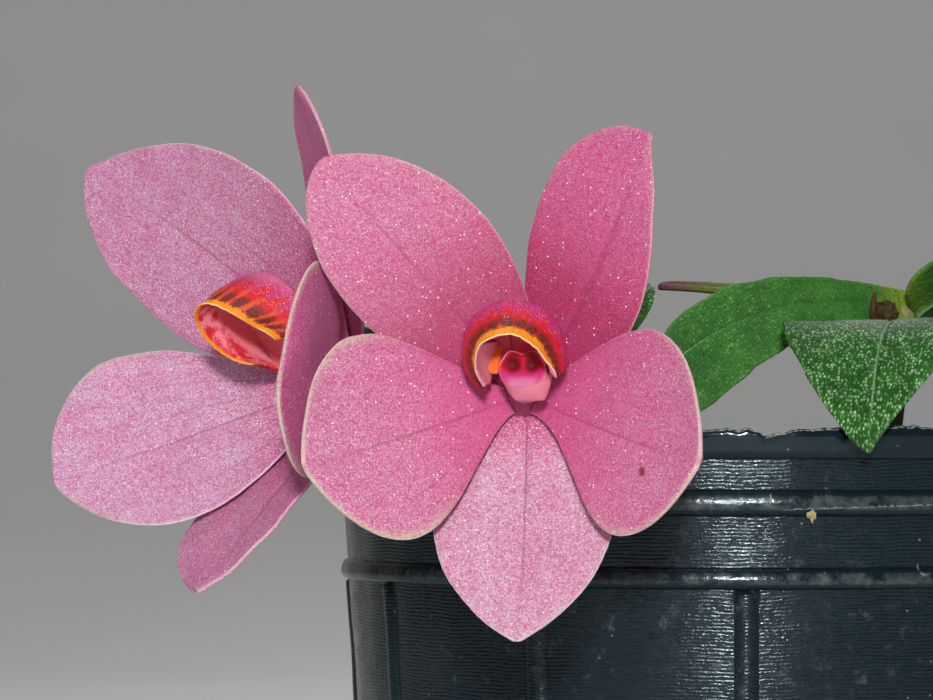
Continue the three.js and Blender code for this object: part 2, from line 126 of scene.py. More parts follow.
def shell(mid, half, maps, sided=True):
    # Two faces, `half` either side of the mid surface, that meet round its border, where half becomes
    # 0. When it is sided, the map "side" tells the upper face, 1, from the lower one, 0.
    normal = sheetNormals(mid)
    half = half.copy()
    half[0] = half[-1] = half[:, 0] = half[:, -1] = 0
    upper, lower = mid + normal * half[..., None], mid - normal * half[..., None]
    upperMaps, lowerMaps = ({**maps, "side": pair(k, half)} if sided else maps for k in (1, 0))
    return [fromGrid(upper, upperMaps, True), fromGrid(lower, lowerMaps)]


def rounded(share, power=8):
    # sqrt(1 - (2 share - 1)^power): 1 in the middle, falling to 0 at both ends
    return np.sqrt(1 - (2 * share - 1) ** power)


def tube(path, radius, reference, columns, ends=True):
    # rings about a path: path + side * radius cos(turn) + up * radius sin(turn), where side is at right
    # angles to the reference direction; with `ends`, both ends close to a point
    rows = len(path)
    ahead = unit(np.gradient(path, axis=0))
    side = unit(np.cross(np.array(reference, float), ahead))
    up = np.cross(ahead, side)
    turn = np.linspace(0, 2 * pi, columns)
    ring = radius.reshape(rows, -1) * np.ones(columns)
    x, y = ring * np.cos(turn), ring * np.sin(turn)
    grid = path[:, None] + side[:, None] * x[..., None] + up[:, None] * y[..., None]
    if ends:
        first, last = path[None, :1].repeat(columns, 1), path[None, -1:].repeat(columns, 1)
        grid = np.concatenate([first, grid, last])
        share = np.concatenate([[0], np.linspace(0, 1, rows), [1]])
    else:
        share = np.linspace(0, 1, rows)
    return grid, pair(share[:, None], turn / (2 * pi))


def lathe(profile, turn):
    # the profile's (radius, z) pairs turned about the Z axis through the given angles
    radius, z = profile[:, 0][:, None], profile[:, 1][:, None]
    return np.stack([radius * np.cos(turn), radius * np.sin(turn), z + 0 * turn], axis=-1)


def makeMesh(name, surfaces, weld=0.0005, sharp=50):
    # joins the surfaces, writes points, faces and maps, welds seams and poles, and shades smooth
    mapNames = sorted({key for _, _, maps in surfaces for key in maps})
    offset, points, faces, corners = 0, [], [], {key: [] for key in mapNames}
    for surfacePoints, surfaceFaces, maps in surfaces:
        points.append(surfacePoints)
        faces.append(surfaceFaces + offset)
        offset += len(surfacePoints)
        blank = np.zeros((len(surfacePoints), 2))
        for key in mapNames:
            corners[key].append(maps.get(key, blank)[surfaceFaces].reshape(-1, 2))
    points, faces = np.vstack(points) * mm, np.vstack(faces)
    mesh = bpy.data.meshes.new(name)
    mesh.vertices.add(len(points))
    mesh.vertices.foreach_set("co", points.astype(np.float32).ravel())
    mesh.loops.add(faces.size)
    mesh.loops.foreach_set("vertex_index", faces.astype(np.int32).ravel())
    mesh.polygons.add(len(faces))
    mesh.polygons.foreach_set("loop_start", np.arange(0, faces.size, 4, dtype=np.int32))
    mesh.update(calc_edges=True)
    for key in mapNames:
        layer = mesh.uv_layers.new(name=key)
        layer.data.foreach_set("uv", np.vstack(corners[key]).astype(np.float32).ravel())
    work = bmesh.new()
    work.from_mesh(mesh)
    bmesh.ops.remove_doubles(work, verts=work.verts, dist=weld * mm)
    work.to_mesh(mesh)
    work.free()
    mesh.validate()
    mesh.shade_smooth()
    mesh.set_sharp_from_angle(angle=deg(sharp))
    return mesh


def makePiece(name, made, material, slotName, *nodes):
    # a finished object from surfaces or a mesh, which rides on the root and stands for the named nodes
    mesh = makeMesh(name, made) if isinstance(made, list) else made
    piece = bpy.data.objects.new(name, mesh)
    bpy.context.scene.collection.objects.link(piece)
    mesh.materials.append(material)
    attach(piece, "root")
    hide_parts(*nodes)


# Shader values
class Value:
    # one output of a node; a sum, product, power or absolute value of it adds one Math node
    def __init__(self, node, output=0):
        self.tree, self.socket = node.id_data, node.outputs[output]

    def __add__(self, other):
        return calc("ADD", self, other)

    def __radd__(self, other):
        return calc("ADD", other, self)

    def __sub__(self, other):
        return calc("SUBTRACT", self, other)

    def __rsub__(self, other):
        return calc("SUBTRACT", other, self)

    def __mul__(self, other):
        return calc("MULTIPLY", self, other)

    def __pow__(self, other):
        return calc("POWER", self, other)

    def __abs__(self):
        return calc("ABSOLUTE", self)


def add(tree, kind, links, **settings):
    # a new node; each of its named or numbered inputs is linked to a value or set to a number
    node = tree.nodes.new("ShaderNode" + kind)
    for key, setting in settings.items():
        setattr(node, key, setting)
    for key, source in links.items():
        if isinstance(source, Value):
            tree.links.new(source.socket, node.inputs[key])
        else:
            node.inputs[key].default_value = source
    return node


def calc(operation, a, b=0.0):
    # a Math node; at least one of a and b is a value
    tree = (a if isinstance(a, Value) else b).tree
    return Value(add(tree, "Math", {0: a, 1: b}, operation=operation))


def calcVector(operation, a, b=(0, 0, 0), output=0):
    # a Vector Math node on a value
    return Value(add(a.tree, "VectorMath", {0: a, 1: b}, operation=operation), output)


def ease(x, low, high, start=0.0, end=1.0):
    # from start to end while x goes from low to high, by 3k^2 - 2k^3
    links = {"Value": x, "From Min": low, "From Max": high, "To Min": start, "To Max": end}
    return Value(add(x.tree, "MapRange", links, interpolation_type="SMOOTHSTEP"))


def tint(share, a, b):
    # colour a where the share is 0, colour b where it is 1
    a, b = ((*color, 1) if isinstance(color, tuple) else color for color in (a, b))
    return Value(add(share.tree, "Mix", {0: share, 6: a, 7: b}, data_type="RGBA"), 2)


def mapPoint(x, y):
    # a flat place for patterns, from two lengths in metres
    return Value(add(x.tree, "CombineXYZ", {0: x, 1: y, 2: 0.0}))


def parts(point):
    # its x, y and z
    node = add(point.tree, "SeparateXYZ", {0: point})
    return [Value(node, k) for k in range(3)]


def objectPoint(material):
    # the place on the object, in metres
    return Value(add(material.node_tree, "TexCoord", {}), "Object")


def mapValues(material, name):
    # the two values that a piece carries in the named map
    return parts(Value(add(material.node_tree, "UVMap", {}, uv_map=name)))[:2]


def noise(point, size, detail=2.0, rough=0.5, distortion=0.0):
    # `size` is the pattern's grain in mm, on coordinates in metres
    links = {"Vector": point, "Scale": 1 / (size * mm), "Detail": detail,
             "Roughness": rough, "Distortion": distortion}
    return Value(add(point.tree, "TexNoise", links))


def cells(point, size, randomness=1.0):
    # distance to the cell's centre as a share of its size, and two random values for each cell
    links = {"Vector": point, "Scale": 1 / (size * mm), "Randomness": randomness}
    node = add(point.tree, "TexVoronoi", links)
    split = add(point.tree, "SeparateColor", {0: Value(node, "Color")})
    return Value(node, "Distance"), Value(split, 0), Value(split, 1)


def bump(height, depth, **more):
    # a normal from a height of 0 to 1, `depth` in mm
    links = {"Height": height, "Distance": depth * mm, "Strength": 1.0, **more}
    return Value(add(height.tree, "Bump", links))


def newMaterial(name):
    # a material with no nodes yet
    material = bpy.data.materials.new(name)
    material.use_nodes = True
    material.node_tree.nodes.clear()
    return material


def finishMaterial(material, color, roughness, more):
    # `more` holds the shader's other inputs by name
    links = {"Base Color": color, "Roughness": roughness, **more}
    shader = add(material.node_tree, "BsdfPrincipled", links)
    add(material.node_tree, "OutputMaterial", {"Surface": Value(shader)})
    return material


# Blades: petals, sepals and leaves
def bladeAxes(blade, s):
    # ahead, side and up at each s: climb and twist go evenly from root to tip, and the heading bends
    climb = np.radians(lerp(*blade["rise"], s))
    turn = np.radians(blade["heading"] + blade["bend"] * s)
    twist = np.radians(lerp(*blade["twist"], s))[:, None]
    ahead = np.stack([np.cos(climb) * np.cos(turn), np.cos(climb) * np.sin(turn), np.sin(climb)], 1)
    flat = np.stack([-np.sin(turn), np.cos(turn), 0 * turn], 1)
    lifted = np.stack([-np.sin(climb) * np.cos(turn), -np.sin(climb) * np.sin(turn), np.cos(climb)], 1)
    side = flat * np.cos(twist) + lifted * np.sin(twist)
    up = lifted * np.cos(twist) - flat * np.sin(twist)
    return ahead, side, up


def bladeHalfWidth(blade, s, half):
    # wide * s^root * (1 - s)^tip scaled to peak at wide, plus a neck that fades out by (1 - s)^3
    root, tip = blade["root"][half], blade["tip"][half]
    peak = root / (root + tip)
    shape = (s ** root * (1 - s) ** tip) / (peak ** root * (1 - peak) ** tip)
    return np.maximum(blade["wide"][half] * shape + blade["neck"] * (1 - s) ** 3, blade["tipHalf"])


def bladeShell(blade, rows, columns):
    # The midrib runs ahead by `length`. Each row lies across it, lifted by cup x^2 / 10 plus
    # fold sqrt(x^2 + 0.04) less groove exp(-(x / grooveWidth)^2) (1 - s^3), with waves at the margins,
    # a broad swell and sunken veins.
    s = np.linspace(0, 1, rows)
    heading = deg(blade["heading"])
    first = np.array([math.cos(heading), math.sin(heading), 0]) * blade["start"][0]
    first[2] += blade["start"][1]
    step = blade["length"] / (rows - 1)
    ahead = bladeAxes(blade, s[1:] - 0.5 / (rows - 1))[0]
    rib = first + np.vstack([np.zeros(3), np.cumsum(ahead * step, axis=0)])
    side, up = bladeAxes(blade, s)[1:]
    u = np.linspace(-1, 1, columns)
    v = np.sign(u) * (1 - (1 - np.abs(u)) ** blade["crowd"])
    wide = np.where(v > 0, bladeHalfWidth(blade, s, 0)[:, None], bladeHalfWidth(blade, s, 1)[:, None])
    nearTip = np.clip(s - 1 + blade["tipRound"], 0, 1) / blade["tipRound"]
    ends = np.sqrt(np.clip(1 - nearTip ** 2, 0.0004, 1))
    along = (s * blade["length"])[:, None]
    ragged = blade["ragged"] * waves(along, 40 * np.sign(v), blade["seed"], 0.45, 7)
    ragged = ragged + 2.2 * blade["ragged"] * waves(along, 40 * np.sign(v), blade["seed"] + 1, 3.1, 5)
    wide = (wide + ragged * smooth(s, 0.08, 0.2)[:, None]) * ends[:, None]
    x = v * wide
    margin = np.abs(v) ** 3 * smooth(s, 0.1, 0.4)[:, None]
    lift = blade["cup"] * x**2 / 10 + blade["fold"] * np.sqrt(x**2 + 0.04)
    lift = lift - blade["groove"] * np.exp(-(x / blade["grooveWidth"]) ** 2) * (1 - s[:, None] ** 3)
    lift = lift + blade["waver"] * margin * waves(along, 9 * np.sign(v), blade["seed"] + 2, 7, 5)
    swell = blade["swell"] * waves(along, x, blade["seed"] + 3, 6.5, 6)
    lift = lift + swell * smooth(s, 0.05, 0.3)[:, None]
    veins = np.abs((np.abs(v) / blade["veinGap"] + 0.5) % 1 - 0.5) * blade["veinGap"] * wide
    lift = lift - blade["veinDepth"] * np.exp(-(veins / 0.22) ** 2) * (1 - np.abs(v)) * (1 - s[:, None])
    mid = rib[:, None] + side[:, None] * x[..., None] + up[:, None] * lift[..., None]
    fromEdge = (1 - np.abs(v)) * wide
    depth = lerp(blade["thick"], blade["thin"], np.abs(v) ** 2) * np.ones((rows, 1)) / 2
    edge = np.clip(fromEdge / (0.5 * blade["thin"]), 0, 1)
    half = depth * np.sqrt(1 - (1 - edge) ** 2)
    cream = np.where(v > 0, blade["cream"][0], blade["cream"][1]) * np.ones((rows, 1))
    cream = cream * smooth(s, *blade["creamFrom"])[:, None]
    level = np.ones((rows, columns))
    maps = {"bladeUv": pair(s[:, None], v), "edge": pair(fromEdge, cream),
            "tone": pair(blade["pale"], blade["deep"], level), "span": pair(along, x)}
    return shell(mid, half, maps)


# Flowers
petalShape = {"bend": 0, "twist": [0, 0], "cup": 0.1, "neck": 1.2, "fold": 0, "tipHalf": 0.3,
              "crowd": 1.35, "tipRound": 0.012, "ragged": 0.012, "groove": 0.16, "grooveWidth": 0.34,
              "waver": 0.1, "swell": 0.07, "veinGap": 0.3, "veinDepth": 0.05, "thick": 0.62, "thin": 0.34,
              "cream": [0.2, 0.2], "creamFrom": [0.45, 0.75], "pale": 0.5, "deep": 0.5}


def tepal(heading, rise, length, wide, root, tip, start, **more):
    # Heading is in degrees from the viewer's right, rise from the face's plane at root and at tip, and
    # wide, root and tip each have a value for both halves; start is (from the middle, up out of it).
    return {**petalShape, "heading": heading, "rise": rise, "length": length, "wide": wide,
            "root": root, "tip": tip, "start": start, **more}


frontFlower = {
    "name": "front_flower", "centre": [-21.5, -52, 74.5], "yaw": 11, "pitch": 4, "size": 1,
    "seed": 100,
    "stalk": [[-20.72, -47.9, 74.2], [-20.2, -43.5, 74.6], [-19.4, -36, 75.9], [-17.5, -23.6, 76.6]],
    "column": {"points": [[0.5, -0.1, 2.65], [1, 0.1, 4.2], [0.9, 1.55, 6.3]],
               "halfWidth": 2.05, "halfHeight": 1.55,
               "wedge": [[-1.1, 3.3], [0.1, 2.6], [1.3, -0.9], [5.3, 4.9]],
               "fold": {"foot": [-1.75, 1.3, 5.0], "tip": [-1.25, 3.7, 4.6], "bow": 0.25,
                        "halfWidth": 0.55}},
    "tepals": [
        tepal(-85, [19, 26], 21.4, [7.5, 7.5], [0.81, 0.82], [0.86, 0.82], [1.2, -0.4], bend=-5,
              cream=[0.25, 0.1], groove=0.2, pale=1.2, deep=0),
        tepal(204, [23, 46], 20, [8.4, 9.2], [1.46, 1.21], [0.81, 0.88], [1.2, 0.8], bend=-1, cup=0.12,
              cream=[1, 0.85], creamFrom=[0.3, 0.6], pale=0.6, deep=0.15),
        tepal(-26, [26, 41], 19.8, [9, 7.7], [0.97, 1.9], [0.83, 0.87], [1.2, 0.8], bend=9, cup=0.12,
              cream=[0.5, 0.7], pale=0.45, deep=0.05),
        # The two upper sepals' high deep values also paint shade near their roots
        tepal(129, [19, 23], 25.5, [6.3, 7.1], [0.8, 0.8], [0.6, 0.69], [1.2, -1.2], bend=4, pale=0.5,
              deep=2.1),
        tepal(56, [18, 25], 24.4, [7.4, 5.1], [0.92, 0.8], [0.51, 1.19], [1.2, -2], bend=11,
              twist=[-12, -18], pale=0.2, deep=2.3),
    ],
    "lip": {"left": -133, "right": 123, "early": 1, "full": [7.8, 2.6], "height": 3.47, "seat": 1.53,
            "shift": [0.47, 0.37], "rimSides": [4.6, 4.75], "rimCrown": 2.2, "rimPower": 0.6, "flick": 1,
            "reachSides": [5.4, 7.1], "reachCrown": 10.5, "reachPower": 0.5, "tilt": -13, "roll": 8,
            "clawShare": 0.34, "lining": [[-2.2, 0.5, 4.2], [-1.5, 4.1, 4.2]]},
}

leftFlower = {
    "name": "left_flower", "centre": [-38, -38.5, 76], "yaw": 60, "pitch": 4, "size": 1.1,
    "seed": 200,
    "stalk": [[-34.2, -36.25, 75.65], [-32.6, -34.6, 75.9], [-29.6, -28, 76.6], [-27, -20.5, 76.2]],
    "column": {"points": [[0.3, -0.1, 2.65], [0.5, 0.3, 3.6], [0.7, 1.6, 4.7]],
               "halfWidth": 1.7, "halfHeight": 1.4},
    "tepals": [
        tepal(-98, [29, 39], 22, [4.2, 9], [0.8, 1.43], [0.76, 0.58], [1.2, -1.2], bend=3, pale=0.6,
              deep=0),
        tepal(202, [26, 47], 28, [8.1, 9.8], [1, 1.17], [0.84, 0.46], [1.2, 0.8], bend=8, cup=0.12,
              cream=[0.4, 0.7], pale=1.1, deep=0.4),
        tepal(-9, [25, 58], 19, [10.5, 7.7], [1.5, 0.82], [0.86, 0.59], [1.2, 0.8], bend=9, cup=0.05,
              cream=[0.9, 0.9], creamFrom=[0.2, 0.5], pale=0.15, deep=0),
        tepal(137, [21, 32], 35, [8.8, 10.4], [0.8, 0.8], [0.55, 0.97], [1.2, -1.2], bend=12, pale=0.85,
              deep=0.5),
        tepal(80, [16, 25], 26, [5.2, 7.6], [1, 1.45], [0.48, 0.8], [1.2, -2], bend=7, twist=[-3, -16],
              pale=0.2, deep=1),
    ],
    "lip": {"left": -140, "right": 135, "early": 0.72, "full": [6.95, 3.35], "height": 3.74, "seat": 1.9,
            "shift": [1.2, 1.6], "rimSides": [3.45, 2.4], "rimCrown": 2.8, "rimPower": 2.8, "flick": 0.9,
            "reachSides": [5, 4.5], "reachCrown": 11.2, "reachPower": 0.52, "tilt": -16, "roll": 21.5,
            "clawShare": 0.6},
}

petalGrid = {"rows": 120, "columns": 45}
lipSheet = {"claw": 2.4, "inset": 0.3, "thick": 0.55, "rim": 0.2, "edge": 0.17, "rows": 84, "columns": 121}
liningSheet = {"half": 0.14, "bow": 0.28, "inside": 0.955, "fromLobe": 1.5, "upTo": -52, "rows": 56,
               "columns": 34}
bulbGrid = {"rows": 40, "columns": 49, "rough": 0.05}
neckShape = {"points": [[0, 0, -3.8], [0, 0, -1], [0, 0, 1.5]],
             "profile": [[0, 0], [0.9, 0.02], [1.5, 0.35], [1.8, 0.7], [1.3, 0.92], [0, 1]]}
chinShape = {"points": [[0, 0.6, -0.8], [0, 2.6, -3.2], [0, 3.6, -6.4]],
             "profile": [[0, 0], [1.7, 0.02], [1.9, 0.45], [1.4, 0.85], [0.7, 0.97], [0, 1]]}


def placed(surfaces, flower):
    # turned and moved from the flower's own axes: the viewer's right, up, and out of the face
    yaw, pitch = deg(flower["yaw"]), deg(flower["pitch"])
    right = [math.cos(yaw), -math.sin(yaw), 0]
    up = [math.sin(yaw) * math.sin(pitch), math.cos(yaw) * math.sin(pitch), math.cos(pitch)]
    out = [-math.sin(yaw) * math.cos(pitch), -math.cos(yaw) * math.cos(pitch), math.sin(pitch)]
    turn = np.array([right, up, out])
    return [(points @ turn + flower["centre"], faces, maps) for points, faces, maps in surfaces]


def bulbTube(points, profile):
    # a smooth bulb along a curve: its radius is read from (radius, share) pairs and wobbles a little
    path, length = curveThrough(points, bulbGrid["rows"])
    share, turn = steps(bulbGrid, 0, 2 * pi)
    radii, shares = np.array(profile).T
    radius = np.interp(share, shares, radii)
    wobble = waves(np.cos(turn) * 3, share * length + np.sin(turn) * 3, 0, 1.5, 7)
    radius = np.maximum(radius + bulbGrid["rough"] * wobble * (radius > 0.3), 0)
    grid, uv = tube(path, radius, [1, 0, 0], bulbGrid["columns"])
    level = np.ones(grid.shape[:2])
    maps = {"bladeUv": pair(uv[..., 0] * 0.3, 0), "edge": pair(3, 0, level), "tone": pair(0.5, 0, level)}
    return [fromGrid(grid, maps)]


def flowerTepals(flower):
    # five blades, the neck behind them and the chin that the lateral sepals form
    surfaces = []
    for k, blade in enumerate(flower["tepals"]):
        surfaces += bladeShell({**blade, "seed": flower["seed"] + 10 * k}, **petalGrid)
    return placed(surfaces + bulbTube(**neckShape) + bulbTube(**chinShape), flower)


def bezier(a, b, c, d, t):
    # a cubic Bezier through a and d, drawn towards b and c
    u = 1 - t
    return a * u**3 + 3 * b * u * u * t + 3 * c * u * t * t + d * t**3


def lipMid(lip, size, t, around):
    # A hood over the column: around turns from the left lobe over the crown to the right lobe and t
    # runs from claw to rim. Radius is a cubic Bezier in t^early; rim radius and reach go from their
    # side values to their crown values by powers of crown = (1 + cos around) / 2.
    settled = smooth(t, 0, 0.4)
    opening = lerp(lip["clawShare"], 1, smooth(t, 0, 0.45))
    height = lerp(lip["seat"], lip["height"], settled)
    angle = np.radians(around) * opening
    crown = (1 + np.cos(np.radians(around))) / 2
    between = smooth(around, -60, 60)
    sideRadius, sideReach = lerp(*lip["rimSides"], between), lerp(*lip["reachSides"], between)
    flick = lip["flick"] * smooth(around / lip["right"], 0.8, 1)
    rim = sideRadius + (lip["rimCrown"] - sideRadius) * crown ** lip["rimPower"] + flick
    reach = sideReach + (lip["reachCrown"] - sideReach) * crown ** lip["reachPower"]
    radius = bezier(0.5, lip["full"][0], lip["full"][1], rim, t ** lip["early"]) - lipSheet["inset"]
    x, y, z = radius * np.sin(angle), height + radius * np.cos(angle), t * (reach - lipSheet["claw"])
    tilt, roll = deg(-lip["tilt"]), deg(lip["roll"])
    y, z = y * math.cos(tilt) - z * math.sin(tilt), y * math.sin(tilt) + z * math.cos(tilt)
    x, y = x * math.cos(roll) - y * math.sin(roll), x * math.sin(roll) + y * math.cos(roll)
    x, y = x + lip["shift"][0] * settled, y + lip["shift"][1] * settled
    return np.stack([x, y, z + lipSheet["claw"]], -1) * size


def lobeLining(lip, size):
    # The left lobe's inner wall: a sheet from just inside its rim straight back to a line beside the
    # column, bowed to the left by bow * sin(pi back) * sin(pi (0.1 + 0.9 share)).
    share, back = steps(liningSheet)
    around = lerp(lip["left"] + liningSheet["fromLobe"], liningSheet["upTo"], share)
    front = lipMid(lip, size, np.full_like(around, liningSheet["inside"]), around)
    low, high = np.array(lip["lining"][0]), np.array(lip["lining"][1])
    rear = (low + (high - low) * share)[:, None]
    mid = front + (rear - front) * back[..., None]
    bow = liningSheet["bow"] * np.sin(pi * back) * np.sin(pi * (share * 0.9 + 0.1))
    mid = mid + np.array([-1.0, 0.1, 0.2]) * bow[..., None]
    half = liningSheet["half"] * rounded(share) * rounded(back)
    level = np.ones(half.shape)
    maps = {"lipUv": pair(1, 1, level), "rim": pair(0.6 + 2.2 * back, 1, level)}
    return shell(mid, half, maps, sided=False)


def flowerLip(flower):
    # The hood's shell, thin at its rim, with a fine grain, a frilled rim and a keel along the crown.
    # fromRim is the length left to the rim along each column, and arc the length across each row.
    lip = flower["lip"]
    t = (1 - (1 - np.linspace(0, 1, lipSheet["rows"])) ** 1.25)[:, None]
    share = np.linspace(0, 1, lipSheet["columns"])
    around = lerp(lip["left"], lip["right"], share)[None]
    mid = lipMid(lip, flower["size"], t, around)
    normal = sheetNormals(mid)
    run = np.linalg.norm(np.diff(mid, axis=0), axis=2)
    fromRim = np.vstack([np.cumsum(run[::-1], axis=0)[::-1], np.zeros((1, lipSheet["columns"]))])
    arc = np.cumsum(np.linalg.norm(np.gradient(mid, axis=1), axis=2), axis=1)
    grain = waves(arc, fromRim, flower["seed"] + 71, 0.5, 12) * 0.025
    frill = waves(arc, 0 * arc, flower["seed"] + 72, 2.4, 5) * 0.06 * np.exp(-fromRim / 0.8)
    keel = 0.22 * np.exp(-((np.abs(around - 4) / 7) ** 2)) * smooth(fromRim, 0.6, 2.5)
    mid = mid + normal * (grain + frill + keel)[..., None] * smooth(t, 0.02, 0.15)[..., None]
    edge = np.minimum(fromRim, np.minimum(share, 1 - share)[None] * 14) / lipSheet["edge"]
    edge = np.minimum(edge, t / 0.02)
    half = lerp(lipSheet["rim"], lipSheet["thick"], smooth(fromRim, 0.2, 2)) / 2
    half = half * np.sqrt(1 - (1 - np.clip(edge, 0, 1)) ** 2)
    maps = {"lipUv": pair(around / 100, t), "rim": pair(fromRim, arc[-1])}
    surfaces = shell(mid, half, maps)
    if "lining" in lip:
        surfaces += lobeLining(lip, flower["size"])
    return placed(surfaces, flower)


# The column is ellipses parallel to its blunt face, stacked along a curve. The face has a scalloped
# upper edge, two hollows and a low dome, and an orange fold of the lip's wall stands beside it.
columnShape = {"hollowAt": [0.4, 0.2], "hollowSize": 0.34, "hollowDepth": 0.42, "dome": 0.3,
               "rimProud": 0.2, "growAt": [0, 0.03, 0.25, 0.6, 0.85, 1],
               "grow": [0, 0.56, 0.62, 0.8, 0.96, 0.98], "rows": 70, "faceRows": 44, "columns": 97}
wedgeSheet = {"half": 0.35, "swell": 0.95, "rows": 40, "columns": 50}
foldSheet = {"half": 0.16, "rows": 40, "columns": 17}


def columnEdge(x, y):
    # the outline's share of the ellipse: two shoulders either side of a dip, on the upper half only
    shoulders = 0.13 * np.exp(-(((np.abs(x) - 0.5) / 0.24) ** 2)) - 0.17 * np.exp(-((x / 0.24) ** 2))
    chin = 0.05 * np.exp(-(((x + 0.45) / 0.3) ** 2)) * smooth(-y, 0.3, 0.8)
    return 1 + shoulders * smooth(y, 0.1, 0.8) + chin


def flowerColumn(flower):
    # The barrel is ellipses along the curve, halfWidth and halfHeight times a scale that grows along it.
    # The face's lift is its dome minus its two hollows, each exp(-distance^2), plus a hump by its edge.
    shape, column = columnShape, flower["column"]
    halfWidth, halfHeight = column["halfWidth"], column["halfHeight"]
    path, _ = curveThrough(column["points"], shape["rows"])
    share, turn = steps(shape, 0, 2 * pi)
    x, y = np.cos(turn), np.sin(turn)
    scale = np.interp(share, shape["growAt"], shape["grow"])
    outline = 1 + (columnEdge(x, y) - 1) * smooth(share, 0.3, 1)
    level = np.ones((shape["rows"], shape["columns"]))
    barrelX, barrelY = halfWidth * scale * outline * x, halfHeight * scale * outline * y
    barrel = path[:, None] + np.stack([barrelX, barrelY, 0 * level], -1)
    inward = (1 - np.linspace(0, 1, shape["faceRows"]) ** 1.15)[:, None]
    fx, fy = inward * x * columnEdge(x, y), inward * y * columnEdge(x, y)
    hollow = np.exp(-((np.abs(fx) - shape["hollowAt"][0]) ** 2 + (fy - shape["hollowAt"][1]) ** 2 * 0.8)
                    / shape["hollowSize"] ** 2)
    dome = np.exp(-((fx / 0.55) ** 2 + ((fy + 0.58) / 0.34) ** 2))
    hump = shape["rimProud"] * smooth(inward, 0.7, 0.94) * (0.4 + 0.6 * smooth(fy, -0.2, 0.5))
    lift = shape["dome"] * dome - shape["hollowDepth"] * hollow + hump
    lift = lift * np.sqrt(1 - inward ** 8)
    face = path[-1] + np.stack([0.98 * halfWidth * fx, 0.98 * halfHeight * fy, lift], -1)
    barrelMaps = {"face": pair(x, y, level), "part": pair(share, 0, level)}
    faceMaps = {"face": pair(fx, fy), "part": pair(inward, 1, np.ones_like(fx))}
    surfaces = [fromGrid(barrel, barrelMaps), fromGrid(face, faceMaps)]
    if "fold" in column:
        surfaces += columnFold(column["fold"]) + columnWedge(*column["wedge"])
    return placed(surfaces, flower)


def columnWedge(upper, lower, high, deep):
    # the flesh under the column: a plate that narrows from its upper to its lower pair of x values,
    # between two y values and two z values, and swells in its middle
    t, across = steps(wedgeSheet)
    x = lerp(lerp(upper[0], lower[0], t ** 1.3), lerp(upper[1], lower[1], t ** 1.3), across)
    swell = wedgeSheet["swell"] * np.sin(pi * across) ** 0.7 * np.sin(pi * t)
    mid = np.stack([x, lerp(*high, t) + 0 * across, lerp(*deep, t) + swell], -1)
    half = wedgeSheet["half"] * rounded(across, 6) * rounded(t)
    level = np.ones(half.shape)
    maps = {"face": pair(0, 0, level), "part": pair(0.2 + 0.5 * t, 0, level)}
    return shell(mid, half, maps)


def columnFold(fold):
    # a narrow strip from its foot to its tip, bowed to the left by bow * sin(pi t)
    t, across = steps(foldSheet, -1)
    foot, tip = np.array(fold["foot"]), np.array(fold["tip"])
    spine = foot + (tip - foot) * t - np.array([fold["bow"], 0, 0]) * np.sin(pi * t)
    wide = fold["halfWidth"] * (0.35 + 0.65 * np.sin(pi * (t * 0.9 + 0.1)) ** 0.8)
    mid = spine[:, None] + np.array([0.8, 0, -0.6]) * (wide * across)[..., None]
    mid = mid + np.array([0.3, 0.1, 0.5]) * (0.2 * across ** 2)[..., None]
    half = foldSheet["half"] * np.sqrt(1 - across ** 4) * rounded(t)
    maps = {"face": pair(across, t), "part": pair(2, 2, np.ones(half.shape))}
    return shell(mid, half, maps)


stalkGrid = {"rows": 90, "columns": 37, "bractFrom": 72, "bractTo": 88}
stalkRadii = [[0, 0], [0.75, 0.01], [1.15, 0.1], [1, 0.2], [0.6, 0.3], [0.55, 0.65], [0.6, 0.99], [0, 1]]


def flowerStalk(flower):
    # A tube whose radius is read from (radius, share) pairs, with six ribs on the ovary; the bract is
    # a thin-walled ring round its foot, longer on one side.
    columns, low, high = stalkGrid["columns"], stalkGrid["bractFrom"], stalkGrid["bractTo"]
    path, length = curveThrough(flower["stalk"], stalkGrid["rows"])
    share, turn = steps(stalkGrid, 0, 2 * pi)
    radii, shares = np.array(stalkRadii).T
    radius = np.interp(share, shares, radii)
    ribs = 0.06 * np.cos(6 * turn) * (share < 0.32) * radius
    radius = radius + ribs + 0.015 * waves(share * length, np.cos(turn) * 2, flower["seed"], 0.9, 6)
    grid, uv = tube(path, np.maximum(radius, 0), [0, 0, 1], columns)
    surfaces = [fromGrid(grid, {"bladeUv": uv, "edge": 0 * uv})]
    along = np.linspace(0, 1, high - low)[:, None]
    flare = np.interp(along, [0, 0.25, 1], [1.05, 0.82, 0.66])
    outer = flare + 0.05 * np.sin(3 * turn) - 0.25 * np.cos(turn) * (1 - along) ** 3
    ring, ringUv = tube(path[low:high], outer, [0, 0, 1], columns, ends=False)
    inner, _ = tube(path[low:high], outer - 0.08, [0, 0, 1], columns, ends=False)
    closed = np.concatenate([ring, inner[::-1], ring[:1]])
    closedUv = np.concatenate([ringUv, ringUv[::-1], ringUv[:1]])
    surfaces.append(fromGrid(closed, {"bladeUv": closedUv, "edge": 0 * closedUv + 1}))
    return surfaces


# Leafy stems
leafShape = {"root": [0.75, 0.75], "tip": [0.75, 0.75], "cup": 0.1, "fold": 0.16, "neck": 0.8,
             "start": [0, 0], "bend": 0, "twist": [0, 0], "tipHalf": 0.2, "crowd": 1.3, "tipRound": 0.01,
             "ragged": 0.022, "groove": 0.3, "grooveWidth": 0.3, "waver": 0.12, "swell": 0.06,
             "veinGap": 0.25, "veinDepth": 0.05, "thick": 0.66, "thin": 0.4, "cream": [0, 0],
             "creamFrom": [0.5, 0.9], "pale": 0, "deep": 0, "young": 0, "grid": [60, 23]}
fineLeaf = {"grid": [130, 49]}


